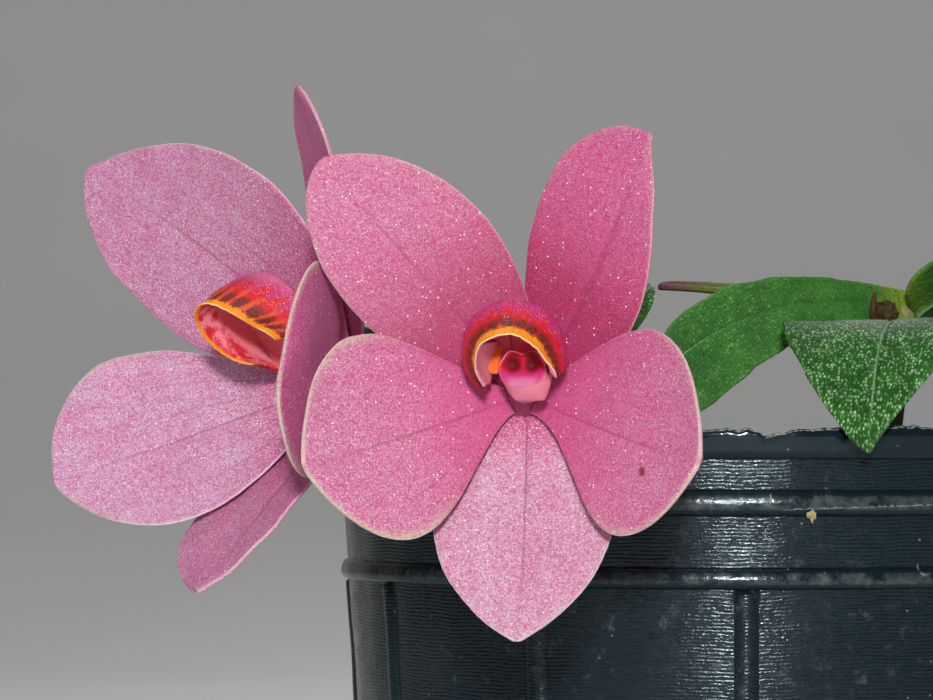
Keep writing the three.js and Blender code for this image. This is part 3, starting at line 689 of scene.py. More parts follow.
def leaf(heading, rise, length, wide, **more):
    # heading and rise as for a tepal, wide as one value or two; `below` is how far under the cane's top
    wide = wide if isinstance(wide, list) else [wide, wide]
    return {**leafShape, "heading": heading, "rise": rise, "length": length, "wide": wide, **more}


stems = [
    {"foot": [12.8, -10.8], "top": [15.9, -14, 84.2], "leaves": [
        leaf(196.7, [12.4, -46.3], 33.9, [5.3, 3.3], bend=20, root=[1.13, 1.54], tip=[0.3, 1],
             twist=[-60, -69], start=[-1, 0], neck=2.1, cup=0.14, fold=0, below=0.4, pale=1, **fineLeaf),
        leaf(256.8, [37, -69.4], 35.1, [8, 9.7], bend=-1.6, root=[0.9, 0.4], tip=[1.13, 0.78],
             twist=[-0.7, 4.4], start=[0.8, 0], neck=1.9, cup=0, fold=0.02, below=6.1, **fineLeaf),
        leaf(12, [42, -35], 20, [5.4, 4.8], bend=20, root=[0.5, 0.5], tip=[0.8, 1],
             twist=[-40, -5], start=[0.8, 0], neck=2.6, fold=0.05, below=0.9, pale=0.4, **fineLeaf),
        leaf(166, [14, 2], 24.5, 1.2, fold=0.2, twist=[-20, -20], root=[0.5, 0.5], tip=[0.25, 0.25],
             below=1.2, young=1, **fineLeaf)],
     "scraps": [
        ([[12.9, -16.6, 82.4], [12.5, -17.3, 83.6], [12.6, -17.2, 85.3]], [0.5, 0.38, 0.3, 0.2], -0.5),
        ([[12.8, -16.2, 83], [13.6, -17, 83.6], [14.7, -16.7, 83.9]], [0.6, 0.9, 0.8, 0.5], 0.4),
        ([[13.2, -16.6, 84.3], [14, -17.1, 83.8], [14.9, -16.6, 83]], [0.3, 0.55, 0.6, 0.3], -0.4)]},
    {"foot": [-16, -17], "top": [-16.6, -21.5, 79], "leaves": [
        leaf(75, [52, 12], 18, 6.8, below=1.6), leaf(350, [30, -50], 12, 3.4, below=5)]},
    {"foot": [-24, -13], "top": [-27, -19, 80], "leaves": [
        leaf(174, [38, -36], 27, 6, below=3.6), leaf(104, [46, -30], 24, 5.4, below=2.1),
        leaf(230, [76, 70], 10, 2.6, below=1.1)]},
    {"foot": [-9, 8], "top": [-12, 11, 83], "leaves": [
        leaf(148, [32, -44], 28, 6.4, below=4.1), leaf(92, [40, -34], 25, 5.8, below=2.1),
        leaf(206, [34, -44], 17, 4.6, below=6.1)]},
    {"foot": [24, 4], "top": [27, 5, 85], "leaves": [
        leaf(-18, [35, -50], 29, 6.8, below=5.1), leaf(24, [45, -36], 27, 6.2, below=3.1),
        leaf(62, [56, -18], 23, 5.4, below=1.6)]},
    {"foot": [23, -16], "top": [26.5, -19.5, 80], "leaves": [
        leaf(-44, [32, -62], 26, 6.2, below=4.1), leaf(-4, [40, -46], 22, 4.6, below=2.1)]},
    {"foot": [4, 15], "top": [4.5, 15.5, 68.4], "leaves": [
        leaf(24, [24, -24], 12, 3.2, below=1.5), leaf(200, [24, -30], 11, 3, below=2.7)]},
    {"foot": [8, 0], "top": [8, 1, 68.8], "leaves": [
        leaf(100, [26, -24], 10, 2.8, below=1.5), leaf(280, [26, -36], 10, 3, below=2.7)]},
]

cane = {"root": 1.2, "holeDepth": 12, "mossTop": 62.5, "nodeEvery": 5.2, "rows": 120, "columns": 33}
scrapSheet = {"half": 0.09, "rows": 36, "columns": 13}


def canePath(stem, count):
    # straight up out of its hole in the moss, then leaning to the top
    x, y = stem["foot"]
    top = np.array(stem["top"], float)
    low = cane["mossTop"] - cane["holeDepth"]
    rise = top[2] - cane["mossTop"]
    lean = [lerp(x, top[0], 0.35), lerp(y, top[1], 0.35), cane["mossTop"] + 0.45 * rise]
    return curveThrough([[x, y, low], [x, y, low + 6], [x, y, cane["mossTop"] + 2], lean, top], count)


def caneSurfaces(stem, seed):
    # A tube of radius root + 0.75 sin(pi rise^0.7) - rise / 4 above the moss, with a ring of
    # exp(-(distance / 0.28)^2) at each node and a ribbed sheath that thins up to the next one.
    path, length = canePath(stem, cane["rows"])
    share, turn = steps(cane, 0, 2 * pi)
    buried = (cane["holeDepth"] + 2) / length
    rise = np.clip((share - buried) / (1 - buried), 0, 1)
    radius = cane["root"] + 0.75 * np.sin(pi * rise ** 0.7) - 0.25 * rise
    along = share * length
    phase = (along / cane["nodeEvery"]) % 1
    node = np.exp(-(np.minimum(phase, 1 - phase) * cane["nodeEvery"] / 0.28) ** 2)
    sheath = 0.14 * (1 - phase) * smooth(phase, 0.04, 0.12)
    seen = smooth(rise, 0.02, 0.12)
    ribs = 0.03 * np.cos(14 * turn) * seen
    radius = radius + (0.1 * node + sheath * 0.6) * seen + ribs
    radius = radius + 0.05 * waves(along, 3 * np.cos(turn), seed, 2.2, 6) * seen
    radius = radius * np.sqrt(np.clip(1 - np.clip(share - 0.985, 0, 1) / 0.015, 0.01, 1))
    grid, uv = tube(path, radius, [1, 0, 0], cane["columns"])
    wrap = np.concatenate([phase[:1], phase, phase[-1:]]) * np.ones_like(grid[..., 0])
    return [fromGrid(grid, {"bladeUv": uv, "caneMap": pair(wrap, 1)})]


def driedScrap(spine, wide, curl, seed):
    # a crumpled papery strip: a ribbon along a curve, curled across by curl * v^2 and wrinkled
    path, length = curveThrough(spine, scrapSheet["rows"])
    t, v = steps(scrapSheet, -1)
    ahead = unit(np.gradient(path, axis=0))
    side = unit(np.cross(ahead, [0.1, -1.0, 0.2]))
    out = np.cross(side, ahead)
    reach = np.interp(t, np.linspace(0, 1, len(wide)), wide)
    reach = reach * (1 + 0.18 * waves(t * length, 3 * np.sign(v), seed, 0.9, 5))
    wrinkle = 0.1 * waves(t * length, v * 0.6, seed + 1, 0.7, 7) + curl * v ** 2
    mid = path[:, None] + side[:, None] * (reach * v)[..., None]
    mid = mid + out[:, None] * (wrinkle * reach)[..., None]
    half = scrapSheet["half"] * np.sqrt(1 - v ** 4) * rounded(t)
    level = np.ones(half.shape)
    maps = {"bladeUv": pair(t, v), "edge": pair(1, 0, level), "caneMap": pair(1, 1, level)}
    return shell(mid, half, maps)


def leafyStem(stem, seed):
    # a cane with its leaves and any dried scraps
    surfaces = caneSurfaces(stem, seed)
    for k, blade in enumerate(stem["leaves"]):
        root = np.array(stem["top"], float) - [0, 0, blade["below"]]
        for points, faces, maps in bladeShell({**blade, "seed": seed + 10 * (k + 1)}, *blade["grid"]):
            kind = pair(0, -1 - blade["young"], np.ones(len(points)))
            surfaces.append((points + root, faces, {**maps, "caneMap": kind}))
    for k, scrap in enumerate(stem.get("scraps", [])):
        surfaces += driedScrap(*scrap, seed + 90 + 3 * k)
    return surfaces


# Moss
moss = {"top": 62.5, "bottom": 1.6, "gap": 0.3, "lump": 0.7, "rings": 70, "wallRings": 30,
        "columns": 217}
strands = {"count": 2600, "seed": 7, "fromCane": 2.6, "clear": 2.2, "fromWall": 0.5, "climb": [0.1, 1.1],
           "length": [1.6, 4.2], "thick": [0.07, 0.15], "taper": [0.5, 1, 1, 0.9, 0.7, 0.4, 0.05]}
crumb = {"at": [4.1, -39.35, 64.2], "size": 0.42, "squash": [0.9, 0.8, 1.1], "rows": 22, "columns": 33}


def mossHeight(x, y):
    # lumps sin x cos y + sin(x + y) / 2, and a rise of sqrt(inward) away from the pot's wall
    inward = 1 - np.hypot(x, y) / potInner(moss["top"])
    lump = np.sin(x / 3.1 + 1) * np.cos(y / 3.7) + 0.5 * np.sin((x + y) / 1.9)
    return moss["top"] + moss["lump"] * lump + np.sqrt(np.clip(inward, 0, 1))


def mossBed():
    # A lathe that fills the pot. Its top is mossHeight plus tufts, |waves|, less a pit round each cane
    # of depth 1.2 exp(-distance^2 / 4.5).
    low, top, gap = moss["bottom"], moss["top"], moss["gap"]
    profile = [[(potInner(low) - gap) * share, low] for share in (0, 0.25, 0.5, 0.75, 0.93)]
    profile += [[potInner(z) - gap, z] for z in np.linspace(low, top - 0.6, moss["wallRings"])]
    profile += [[(potInner(top) - gap) * share, top] for share in np.linspace(1, 0, moss["rings"]) ** 0.9]
    profile = np.array(profile)
    turn = np.linspace(0, 2 * pi, moss["columns"])[None]
    grid = lathe(profile, turn)
    onTop = (profile[:, 1] > top - 0.01)[:, None]
    x, y = grid[..., 0], grid[..., 1]
    tufts = 0.55 * np.abs(waves(x, y, 31, 2.6, 10)) + 0.25 * waves(x, y, 32, 0.9, 12)
    fromCanes = [np.hypot(x - stem["foot"][0], y - stem["foot"][1]) for stem in stems]
    pits = sum(np.exp(-away ** 2 / 4.5) for away in fromCanes)
    rise = mossHeight(x, y) + tufts - 0.5 - 1.2 * np.clip(pits, 0, 1)
    grid[..., 2] = np.where(onTop, rise, grid[..., 2])
    shift = 0.12 * waves(turn * 36, grid[..., 2], 33, 1.7, 9) * ~onTop * (profile[:, 0] > 5)[:, None]
    grid[..., :2] *= (1 - np.abs(shift) / np.maximum(np.hypot(x, y), 1))[..., None]
    return fromGrid(grid, {"strand": 0 * grid[..., :2]})


def mossStrands():
    # three-sided threads, each an arc through seven rings that tapers to its tip; they keep clear of
    # the canes and of the pot's wall
    rng = np.random.default_rng(strands["seed"])
    count = strands["count"]
    reach = (potInner(moss["top"]) - 1.6) * np.sqrt(rng.uniform(0, 1, count))
    turn = rng.uniform(0, 2 * pi, count)
    x, y = reach * np.cos(turn), reach * np.sin(turn)
    keep = np.ones(count, bool)
    for stem in stems:
        keep &= np.hypot(x - stem["foot"][0], y - stem["foot"][1]) > strands["fromCane"]
    x, y = x[keep], y[keep]
    count = len(x)
    heading, curl = rng.uniform(0, 2 * pi, count), rng.normal(0, 0.9, count)
    climb, length = rng.uniform(*strands["climb"], count), rng.uniform(*strands["length"], count)
    thick = rng.uniform(*strands["thick"], count)
    taper = np.array(strands["taper"])
    share = np.linspace(0, 1, len(taper))
    way = heading[:, None] + curl[:, None] * share
    lean = climb[:, None] * (1 - 1.5 * share)
    ahead = np.stack([np.cos(way) * np.cos(lean), np.sin(way) * np.cos(lean), np.sin(lean)], -1)
    base = np.stack([x, y, mossHeight(x, y) - 0.1], -1)
    spots = base[:, None] + np.cumsum(ahead * length[:, None, None] / (len(taper) - 1), axis=1)
    far = np.hypot(spots[..., 0], spots[..., 1])
    limit = potInner(moss["top"]) - strands["fromWall"]
    spots[..., :2] *= np.minimum(1, limit / np.maximum(far, 1e-6))[..., None]
    for stem in stems:
        away = spots[..., :2] - np.array(stem["foot"])
        gap = np.linalg.norm(away, axis=-1, keepdims=True)
        push = away / np.maximum(gap, 0.05) * (strands["clear"] - gap)
        spots[..., :2] += np.where(gap < strands["clear"], push, 0)
    corner = np.linspace(0, 2 * pi, 4)[:, None]
    flat = np.stack([-np.sin(way), np.cos(way), 0 * way], -1)
    ring = flat[:, :, None] * np.cos(corner) + np.array([0, 0, 1.0]) * np.sin(corner)
    grid = spots[:, :, None] + ring * (thick[:, None] * taper)[..., None, None]
    grid = np.concatenate([spots[:, :1, None].repeat(4, 2), grid, spots[:, -1:, None].repeat(4, 2)], 1)
    rows = grid.shape[1]
    faces = gridFaces(rows, 4)[None] + (np.arange(count) * rows * 4)[:, None, None]
    tone, run = rng.uniform(0.2, 1, count), np.linspace(0, 1, rows)
    uv = pair(tone[:, None, None], run[None, :, None]).repeat(4, 2)
    return grid.reshape(-1, 3), faces.reshape(-1, 4), {"strand": uv.reshape(-1, 2)}


def strayCrumb():
    # a crumb of dry moss caught on the pot's upper bead: a ball with radius size * (1 + waves)
    rise = np.linspace(-pi / 2, pi / 2, crumb["rows"])
    turn = np.linspace(0, 2 * pi, crumb["columns"])[None]
    ball = lathe(np.stack([np.cos(rise), np.sin(rise)], 1), turn)
    lumps = 1 + 0.2 * waves(3 * ball[..., 0], 3 * ball[..., 2] + 2 * ball[..., 1], 51, 3.1, 7)
    lumps = lumps + 0.12 * waves(6 * ball[..., 0] + 2, 6 * ball[..., 1] + 3 * ball[..., 2], 52, 2.2, 12)
    grid = np.array(crumb["at"]) + ball * (crumb["size"] * lumps)[..., None] * crumb["squash"]
    return fromGrid(grid, {"strand": pair(0.95, 0.9, np.ones(lumps.shape))})


# Pot
pot = {"height": 72, "rimRadius": 40, "collarProud": 0.8, "taper": math.tan(deg(4.1)), "wall": 0.9,
       "floor": 1.3, "collarLow": 69.2, "upperBead": [64.1, 66.5, 0.7], "lowerBead": [57.6, 59.6, 0.7],
       "ribs": 12, "ribHalfWidth": 1, "ribSector": 2.3, "ribProud": 0.5, "ribTurn": -2.4, "drains": 8,
       "drainRadius": 1.8, "drainCircle": 23, "footRound": 1.2, "sharp": 38}


def potOuter(z):
    # the wall's outer radius at a height, which narrows evenly below the collar
    return pot["rimRadius"] - pot["collarProud"] - pot["taper"] * (pot["height"] - z)


def potInner(z):
    # the wall's inner radius at a height
    return potOuter(z) - pot["wall"]


def beadRows(low, high, proud):
    # a bead between two heights, proud by sin(pi share)^0.4 * (1.25 - share / 2), so fuller below
    share = np.linspace(0, 1, 15)
    z = lerp(low, high, share)
    return np.stack([potOuter(z) + proud * np.sin(pi * share) ** 0.4 * (1.25 - 0.5 * share), z], 1)


def wallRows(low, high, count):
    # the plain wall between two heights
    z = np.linspace(low, high, count)
    return np.stack([potOuter(z), z], 1)


def potProfile():
    # (radius, z) pairs from the middle of the foot, up the outside, over the rim and down inside
    rim, height, low = pot["rimRadius"], pot["height"], pot["collarLow"]
    corner, bend = np.linspace(-pi / 2, 0, 7), pot["footRound"]
    foot = np.stack([potOuter(bend) - bend + bend * np.cos(corner), bend + bend * np.sin(corner)], 1)
    under = np.array([[r, 0] for r in np.linspace(0, potOuter(0) - 1.6, 12)])
    collar = np.array([[potOuter(low), low], [rim - 0.5, low + 0.12], [rim - 0.29, low + 0.4],
                       [rim - 0.22, low + 0.8], [rim - 0.14, low + 1.4], [rim - 0.05, low + 1.9],
                       [rim - 0.01, height - 0.5], [rim - 0.1, height - 0.22],
                       [rim - 0.32, height - 0.05], [rim - 0.55, height], [rim - 0.9, height - 0.02],
                       [potInner(height) + 0.35, height - 0.08], [potInner(height) + 0.08, height - 0.3]])
    inside = wallRows(pot["floor"] + 0.8, height - 0.6, 24)[::-1] - [pot["wall"], 0]
    base = np.array([[potInner(pot["floor"]) - 0.7, pot["floor"]]])
    floor = np.array([[r, pot["floor"]] for r in np.linspace(potInner(0) - 2, 0, 12)])
    return np.vstack([under, foot, wallRows(1.7, 57.2, 46), beadRows(*pot["lowerBead"]),
                      wallRows(59.9, 63.8, 6), beadRows(*pot["upperBead"]), wallRows(66.8, 69, 5),
                      collar, inside, base, floor])


def potMesh():
    # The lathe's columns crowd at each rib, where the radius grows by proud * (1 - (d / half)^2)^0.75.
    # The rim's top edge is ragged: sines and waves, with one bigger nick of exp(-distance^2) in front.
    profile = potProfile()
    every, near = 360 / pot["ribs"], pot["ribSector"]
    sector = np.append(np.linspace(-near, near, 16), np.linspace(near, every - near, 30)[1:-1])
    turns = np.concatenate([sector + every * k for k in range(pot["ribs"])] + [[sector[0] + 360]])
    angle = np.radians(turns + pot["ribTurn"] - 90)[None]
    grid = lathe(profile, angle)
    z = profile[:, 1][:, None]
    outside = np.arange(len(profile))[:, None] < np.argmax(profile[:, 1]) - 1
    ribArc = np.abs((turns + every / 2) % every - every / 2)[None] * deg(1) * potOuter(30)
    d = np.clip(ribArc / pot["ribHalfWidth"], 0, 1)
    rib = pot["ribProud"] * (1 - d ** 2) ** 0.75 * smooth(z, 2.4, 3.4) * (z < 57.3) * outside
    radius = profile[:, 0][:, None]
    soft = 0.05 * waves(angle * 39, z, 41, 9, 8) * (radius > 20)
    grid[..., :2] *= (1 + rib / np.maximum(radius, 1) + soft / 39)[..., None]
    arc = angle * pot["rimRadius"]
    ragged = 0.16 * np.sin(9 * angle + 1) + 0.1 * np.sin(16 * angle + 2)
    ragged = ragged + 0.09 * waves(arc, 0 * arc, 42, 0.9, 12) + 0.09 * waves(arc, 0 * arc, 43, 5, 7)
    nickAt = arc + (pi / 2 - 0.02) * pot["rimRadius"]
    ragged = ragged - 0.55 * np.exp(-(nickAt / 1.6) ** 2) - 0.25 * np.exp(-((nickAt + 0.9) / 0.5) ** 2)
    top = smooth(z, pot["height"] - 1.2, pot["height"] - 0.1)
    grid[..., 2] += ragged * top
    bead = sum(np.exp(-((z - (low + high) / 2) / (0.4 * (high - low))) ** 4)
               for low, high, _ in (pot["upperBead"], pot["lowerBead"]))
    maps = {"potMap": pair(bead * outside, top, np.ones_like(angle))}
    return drilled(makeMesh("pot", [fromGrid(grid, maps)]))


def drilled(mesh):
    # eight drain holes cut through the floor
    target = bpy.data.objects.new("potBlank", mesh)
    scene = bpy.context.scene.collection
    scene.objects.link(target)
    work = bmesh.new()
    for k in range(pot["drains"]):
        turn = (k + 0.5) * 2 * pi / pot["drains"]
        made = bmesh.ops.create_cone(work, cap_ends=True, segments=40, radius1=pot["drainRadius"] * mm,
                                     radius2=pot["drainRadius"] * mm, depth=6 * mm)
        spot = (pot["drainCircle"] * mm * math.cos(turn), pot["drainCircle"] * mm * math.sin(turn), 0)
        bmesh.ops.translate(work, verts=made["verts"], vec=spot)
    cutMesh = bpy.data.meshes.new("drills")
    work.to_mesh(cutMesh)
    work.free()
    drills = bpy.data.objects.new("drills", cutMesh)
    scene.objects.link(drills)
    cut = target.modifiers.new("drain", "BOOLEAN")
    cut.operation, cut.object, cut.solver = "DIFFERENCE", drills, "EXACT"
    bpy.context.view_layer.update()
    graph = bpy.context.evaluated_depsgraph_get()
    result = bpy.data.meshes.new_from_object(target.evaluated_get(graph))
    bpy.data.objects.remove(target)
    bpy.data.objects.remove(drills)
    result.name = "potShell"
    result.materials.clear()
    result.shade_smooth()
    result.set_sharp_from_angle(angle=deg(pot["sharp"]))
    return result


# Materials
petalTones = {"pink": (0.56, 0.08, 0.24), "deep": (0.42, 0.022, 0.115), "pale": (0.6, 0.32, 0.46),
              "dustAndGlitter": (0.88, 0.8, 0.86), "violet": (0.45, 0.35, 0.9), "glint": (1, 0.95, 0.97),
              "cream": (0.56, 0.53, 0.33), "hair": (0.85, 0.68, 0.72), "vein": (0.34, 0.05, 0.12),
              "fleck": (0.16, 0.02, 0.03), "grain": 0.14, "glintGrain": 0.32, "sparkle": 0.35,
              "fleckAt": [-12.2, 68]}
leftPetalTones = {**petalTones, "pink": (0.58, 0.075, 0.27), "pale": (0.6, 0.36, 0.52),
                  "dustAndGlitter": (0.9, 0.82, 0.94), "sparkle": 0.9}


def petalMaterial(name, tones):
    # Pink, deeper near the root, where a high deep value also paints shade, and paler near the tip, with
    # dark vein lines, a cream margin and one dark fleck. Painted glitter, pale dots, takes a random share
    # of each small cell, and painted glints fill a few larger cells.
    material = newMaterial(name)
    point = objectPoint(material)
    s, v = mapValues(material, "bladeUv")
    fromEdge, cream = mapValues(material, "edge")
    along, across = mapValues(material, "span")
    pale, deep = mapValues(material, "tone")
    streak = noise(mapPoint(along * (0.2 * mm), across * mm), 1.3, 3, 0.65)
    patch = noise(point, 3.2, 3, 0.6) * 0.5 + streak * 0.5
    fine, fineRandom, fineHue = cells(point, tones["grain"])
    coarse, coarseRandom, _ = cells(point, tones["glintGrain"])
    # Deeper towards the root: the flesh's own deeper pink, and painted shade where deep is high
    base = tint(ease(s, 0.75, 0) * deep * 0.9, tones["pink"], tones["deep"])
    outer = ease(s, 0, (1.6 - pale) * 0.75) * ease(patch, 0.3, 0.7, 0.55, 1) * pale
    base = tint(outer * 0.8, base, tones["pale"])
    base = tint(ease(fineRandom, 0.4, 0) * 0.5, base, tones["deep"])
    # Painted glitter: pale dots on a random share of the small cells, more on paler blades and tips
    dustAndGlitter = ease(fine, 0.6, 0.2) * fineRandom ** 1.5 * ease(patch, 0.3, 0.7, 0.65, 1)
    dustAndGlitter = dustAndGlitter * ease(s, 0, (1.25 - pale) * 1.1, 0.1, 1) * ease(pale, -0.2, 1.2, 0.45, 1.2)
    glitterTone = tint(ease(fineHue, 0.8, 0.95) * tones["sparkle"], tones["dustAndGlitter"], tones["violet"])
    base = tint(dustAndGlitter, base, glitterTone)
    veinRun = calc("PINGPONG", abs(v) + patch * 0.04, 0.16)
    vein = ease(veinRun, 0.022, 0) * ease(s, 0.95, 0.3) * ease(streak, 0.4, 0.6) * 0.5
    seam = ease(abs(across), 0.2, 0.05) * ease(s, 1, 0.5) * 0.5
    base = tint(calc("MAXIMUM", vein, seam), base, tones["vein"])
    # Painted glints: a few larger cells turn near white
    base = tint(ease(coarseRandom, 0.86, 0.94) * ease(coarse, 0.3, 0.12), base, tones["glint"])
    margin = ease(fromEdge + noise(point, 0.5, 4, 0.75) * 1.6, 1.9, 0.6)
    base = tint(margin * cream * ease(fineRandom, 0.1, 0.7, 0.45, 0.85), base, tones["cream"])
    base = tint(ease(fromEdge, 0.13, 0.03) * ease(pale, 0.8, 1.05, 0.3, 0.75), base, tones["hair"])
    fleckX, fleckZ = tones["fleckAt"]
    away = calcVector("SUBTRACT", point, (fleckX * mm, 0, fleckZ * mm))
    away = calcVector("LENGTH", calcVector("MULTIPLY", away, (1, 0, 0.6)), output="Value")
    fleck = ease(away, 0.36 * mm, 0.12 * mm) * ease(fineRandom, 0, 0.4, 0.4, 0.95)
    base = tint(fleck, base, tones["fleck"])
    normal = bump((0.7 - fine) * (fineRandom + 0.4), 0.07)
    return finishMaterial(material, base, ease(fineRandom, 0.5, 1, 0.55, 0.32), {
        "Normal": normal, "Specular IOR Level": 0.32, "Subsurface Weight": 0.35,
        "Subsurface Radius": (1, 0.3, 0.45), "Subsurface Scale": 0.0009, "Sheen Weight": 0.05,
        "Sheen Roughness": 0.5, "Sheen Tint": (1, 0.85, 0.95, 1)})


lipTones = {"pink": (0.49, 0.018, 0.145), "red": (0.62, 0.008, 0.014), "orange": (1, 0.3, 0.004),
            "yellow": (1, 0.7, 0.3), "brown": (0.07, 0.022, 0.011), "salmon": (1, 0.3, 0.37),
            "paleHood": (0.66, 0.16, 0.32), "meal": (0.95, 0.75, 0.85)}
frontBands = {"orange": 1.2, "spotEnd": 2.3, "spotFrom": -1.75, "red": 2.8, "flame": 0.3, "deep": 1.2,
              "mottle": 0, "between": 0, "pitch": 0.85, "fade": 0, "inside": (0.62, 0.1, 0.15)}
leftBands = {"orange": 0.75, "spotEnd": 2.2, "spotFrom": -1, "red": 3.3, "flame": 0.7, "deep": 1,
             "mottle": 0.95, "between": 0.25, "pitch": 1.1, "fade": 0.9, "inside": (0.85, 0.22, 0.28)}


def lipMaterial(name, bands):
    # Bands in mm from the rim: a yellow hairline, orange, a row of brown spots on red flames, then
    # pink. The spots and flames follow beat, a cosine along the rim that noise sets wandering.
    tones, orange, red, spotEnd = lipTones, bands["orange"], bands["red"], bands["spotEnd"]
    material = newMaterial(name)
    point = objectPoint(material)
    fromRim, arc = mapValues(material, "rim")
    outer, _ = mapValues(material, "side")
    crest, _ = mapValues(material, "lipUv")
    streakAt = mapPoint(arc * mm, fromRim * (0.2 * mm))
    streak = noise(streakAt, 0.45, 3, 0.6) - 0.5
    soft = noise(point, 0.4, 3, 0.6) - 0.5
    fine, fineRandom, _ = cells(point, 0.12)
    grit = fineRandom - 0.5
    d = fromRim + soft * 0.5
    turns = arc * (2 * pi / bands["pitch"]) + noise(streakAt, 2.2, 1, 0.5) * 7
    beat = calc("COSINE", turns) + soft * 1.2
    base = tint(ease(fromRim, 3.5, 6.5, 0, bands["fade"]), tones["pink"], tones["paleHood"])
    flame = d - (beat + streak * 3) * bands["flame"] + grit
    base = tint(ease(flame, red, red + 1.2), tones["red"], base)
    between = ease(beat + streak * 2, -0.1, -0.9) * ease(d, red + 0.5, spotEnd)
    base = tint(between * bands["between"], base, tones["orange"])
    base = tint(ease(d, orange + 0.25, orange - 0.2), base, tones["orange"])
    gritty = d + grit * 0.35
    row = ease(gritty, orange - 0.3, orange + 0.2) * ease(gritty, spotEnd + 0.5, spotEnd - 0.4)
    clotted = beat + ((noise(point, 0.22, 3, 0.8) - 0.5) * 3.5 + grit * 0.8)
    spots = ease(clotted, bands["spotFrom"], bands["spotFrom"] + 1.3) * row
    base = tint(spots * ease(fineRandom, 0, 0.5, 0.65, 1) * 0.92, base, tones["brown"])
    base = tint(ease(fromRim, 0.11, 0.02), base, tones["yellow"])
    keel = ease(abs(crest - 0.04), 0.09, 0.03) * ease(d, 0.3, 0.8) * ease(d, 3.4, 2)
    mealy = calc("MAXIMUM", ease(d, 2, 4, 0.1, 0.7), keel)
    base = tint(ease(fine, 0.5, 0.2) * fineRandom ** 3 * mealy, base, tones["meal"])
    inner = tint(ease(fromRim, bands["deep"], bands["deep"] + 3.5), tones["salmon"], bands["inside"])
    mottle = ease(noise(point, 1.1, 4, 0.7), 0.38, 0.6) * ease(d, 3.6, 2.2) * bands["mottle"]
    inner = tint(mottle, inner, tones["red"])
    inner = tint(ease(fromRim, 0.5, 0.2) * bands["mottle"], inner, tones["orange"])
    return finishMaterial(material, tint(outer, inner, base), 0.5, {
        "Normal": bump(0.7 - fine, 0.035), "Specular IOR Level": 0.3, "Subsurface Weight": 0.6,
        "Subsurface Radius": (1, 0.3, 0.25), "Subsurface Scale": 0.001})


columnTones = {"pale": (0.78, 0.24, 0.33), "magenta": (0.48, 0.02, 0.15), "red": (0.47, 0.004, 0.03),
               "hollow": (0.13, 0.001, 0.004), "lilac": (0.6, 0.17, 0.34), "wedge": (0.62, 0.18, 0.24),
               "orange": (0.85, 0.17, 0.03)}


def columnMaterial():
    # A face of crimson over magenta with two hollows painted near black as shade, a lilac chin and a pale
    # edge; the barrel is pale, and the fold, whose face value is 2, orange.
    tones = columnTones
    material = newMaterial("column_flesh")
    x, y = mapValues(material, "face")
    share, face = mapValues(material, "part")
    side = abs(x) - columnShape["hollowAt"][0]
    above = y - columnShape["hollowAt"][1]
    above = calc("MAXIMUM", above * 0.5, above * -1)
    apart = calc("SQRT", side * side + above * above * 0.8)
    color = tint(ease(y, -0.3, 0.15), tones["magenta"], tones["red"])
    # Painted shade: the two hollows turn near black
    color = tint(ease(apart, 0.5, 0.12), color, tones["hollow"])
    color = tint(ease(y, -0.22, -0.85) * ease(abs(x), 0.85, 0.35), color, tones["lilac"])
    color = tint(ease(share, 0.9, 0.98) * ease(y, 0, 0.4, 0.3, 1), color, tones["pale"])
    barrel = tint(ease(share, 0.3, 0.9), tones["wedge"], tones["pale"])
    color = tint(ease(face, 1.4, 1.6), tint(face, barrel, color), tones["orange"])
    normal = bump(noise(objectPoint(material), 0.15, 2, 0.6), 0.02)
    return finishMaterial(material, color, 0.6, {
        "Normal": normal, "Specular IOR Level": 0.2, "Subsurface Weight": 0.35,
        "Subsurface Radius": (0.8, 0.2, 0.25), "Subsurface Scale": 0.0006})


leafTones = {"green": (0.026, 0.14, 0.009), "dark": (0.007, 0.05, 0.004), "pale": (0.08, 0.22, 0.04),
             "young": (0.18, 0.25, 0.02), "bright": (0.06, 0.2, 0.04), "rib": (0.18, 0.32, 0.15),
             "wartGlint": (0.5, 0.85, 0.45), "shoot": (0.1, 0.15, 0.012), "shootTip": (0.12, 0.035, 0.05),
             "sheath": (0.3, 0.26, 0.14), "cane": (0.16, 0.2, 0.04), "brown": (0.035, 0.014, 0.005),
             "wartSize": 0.25}


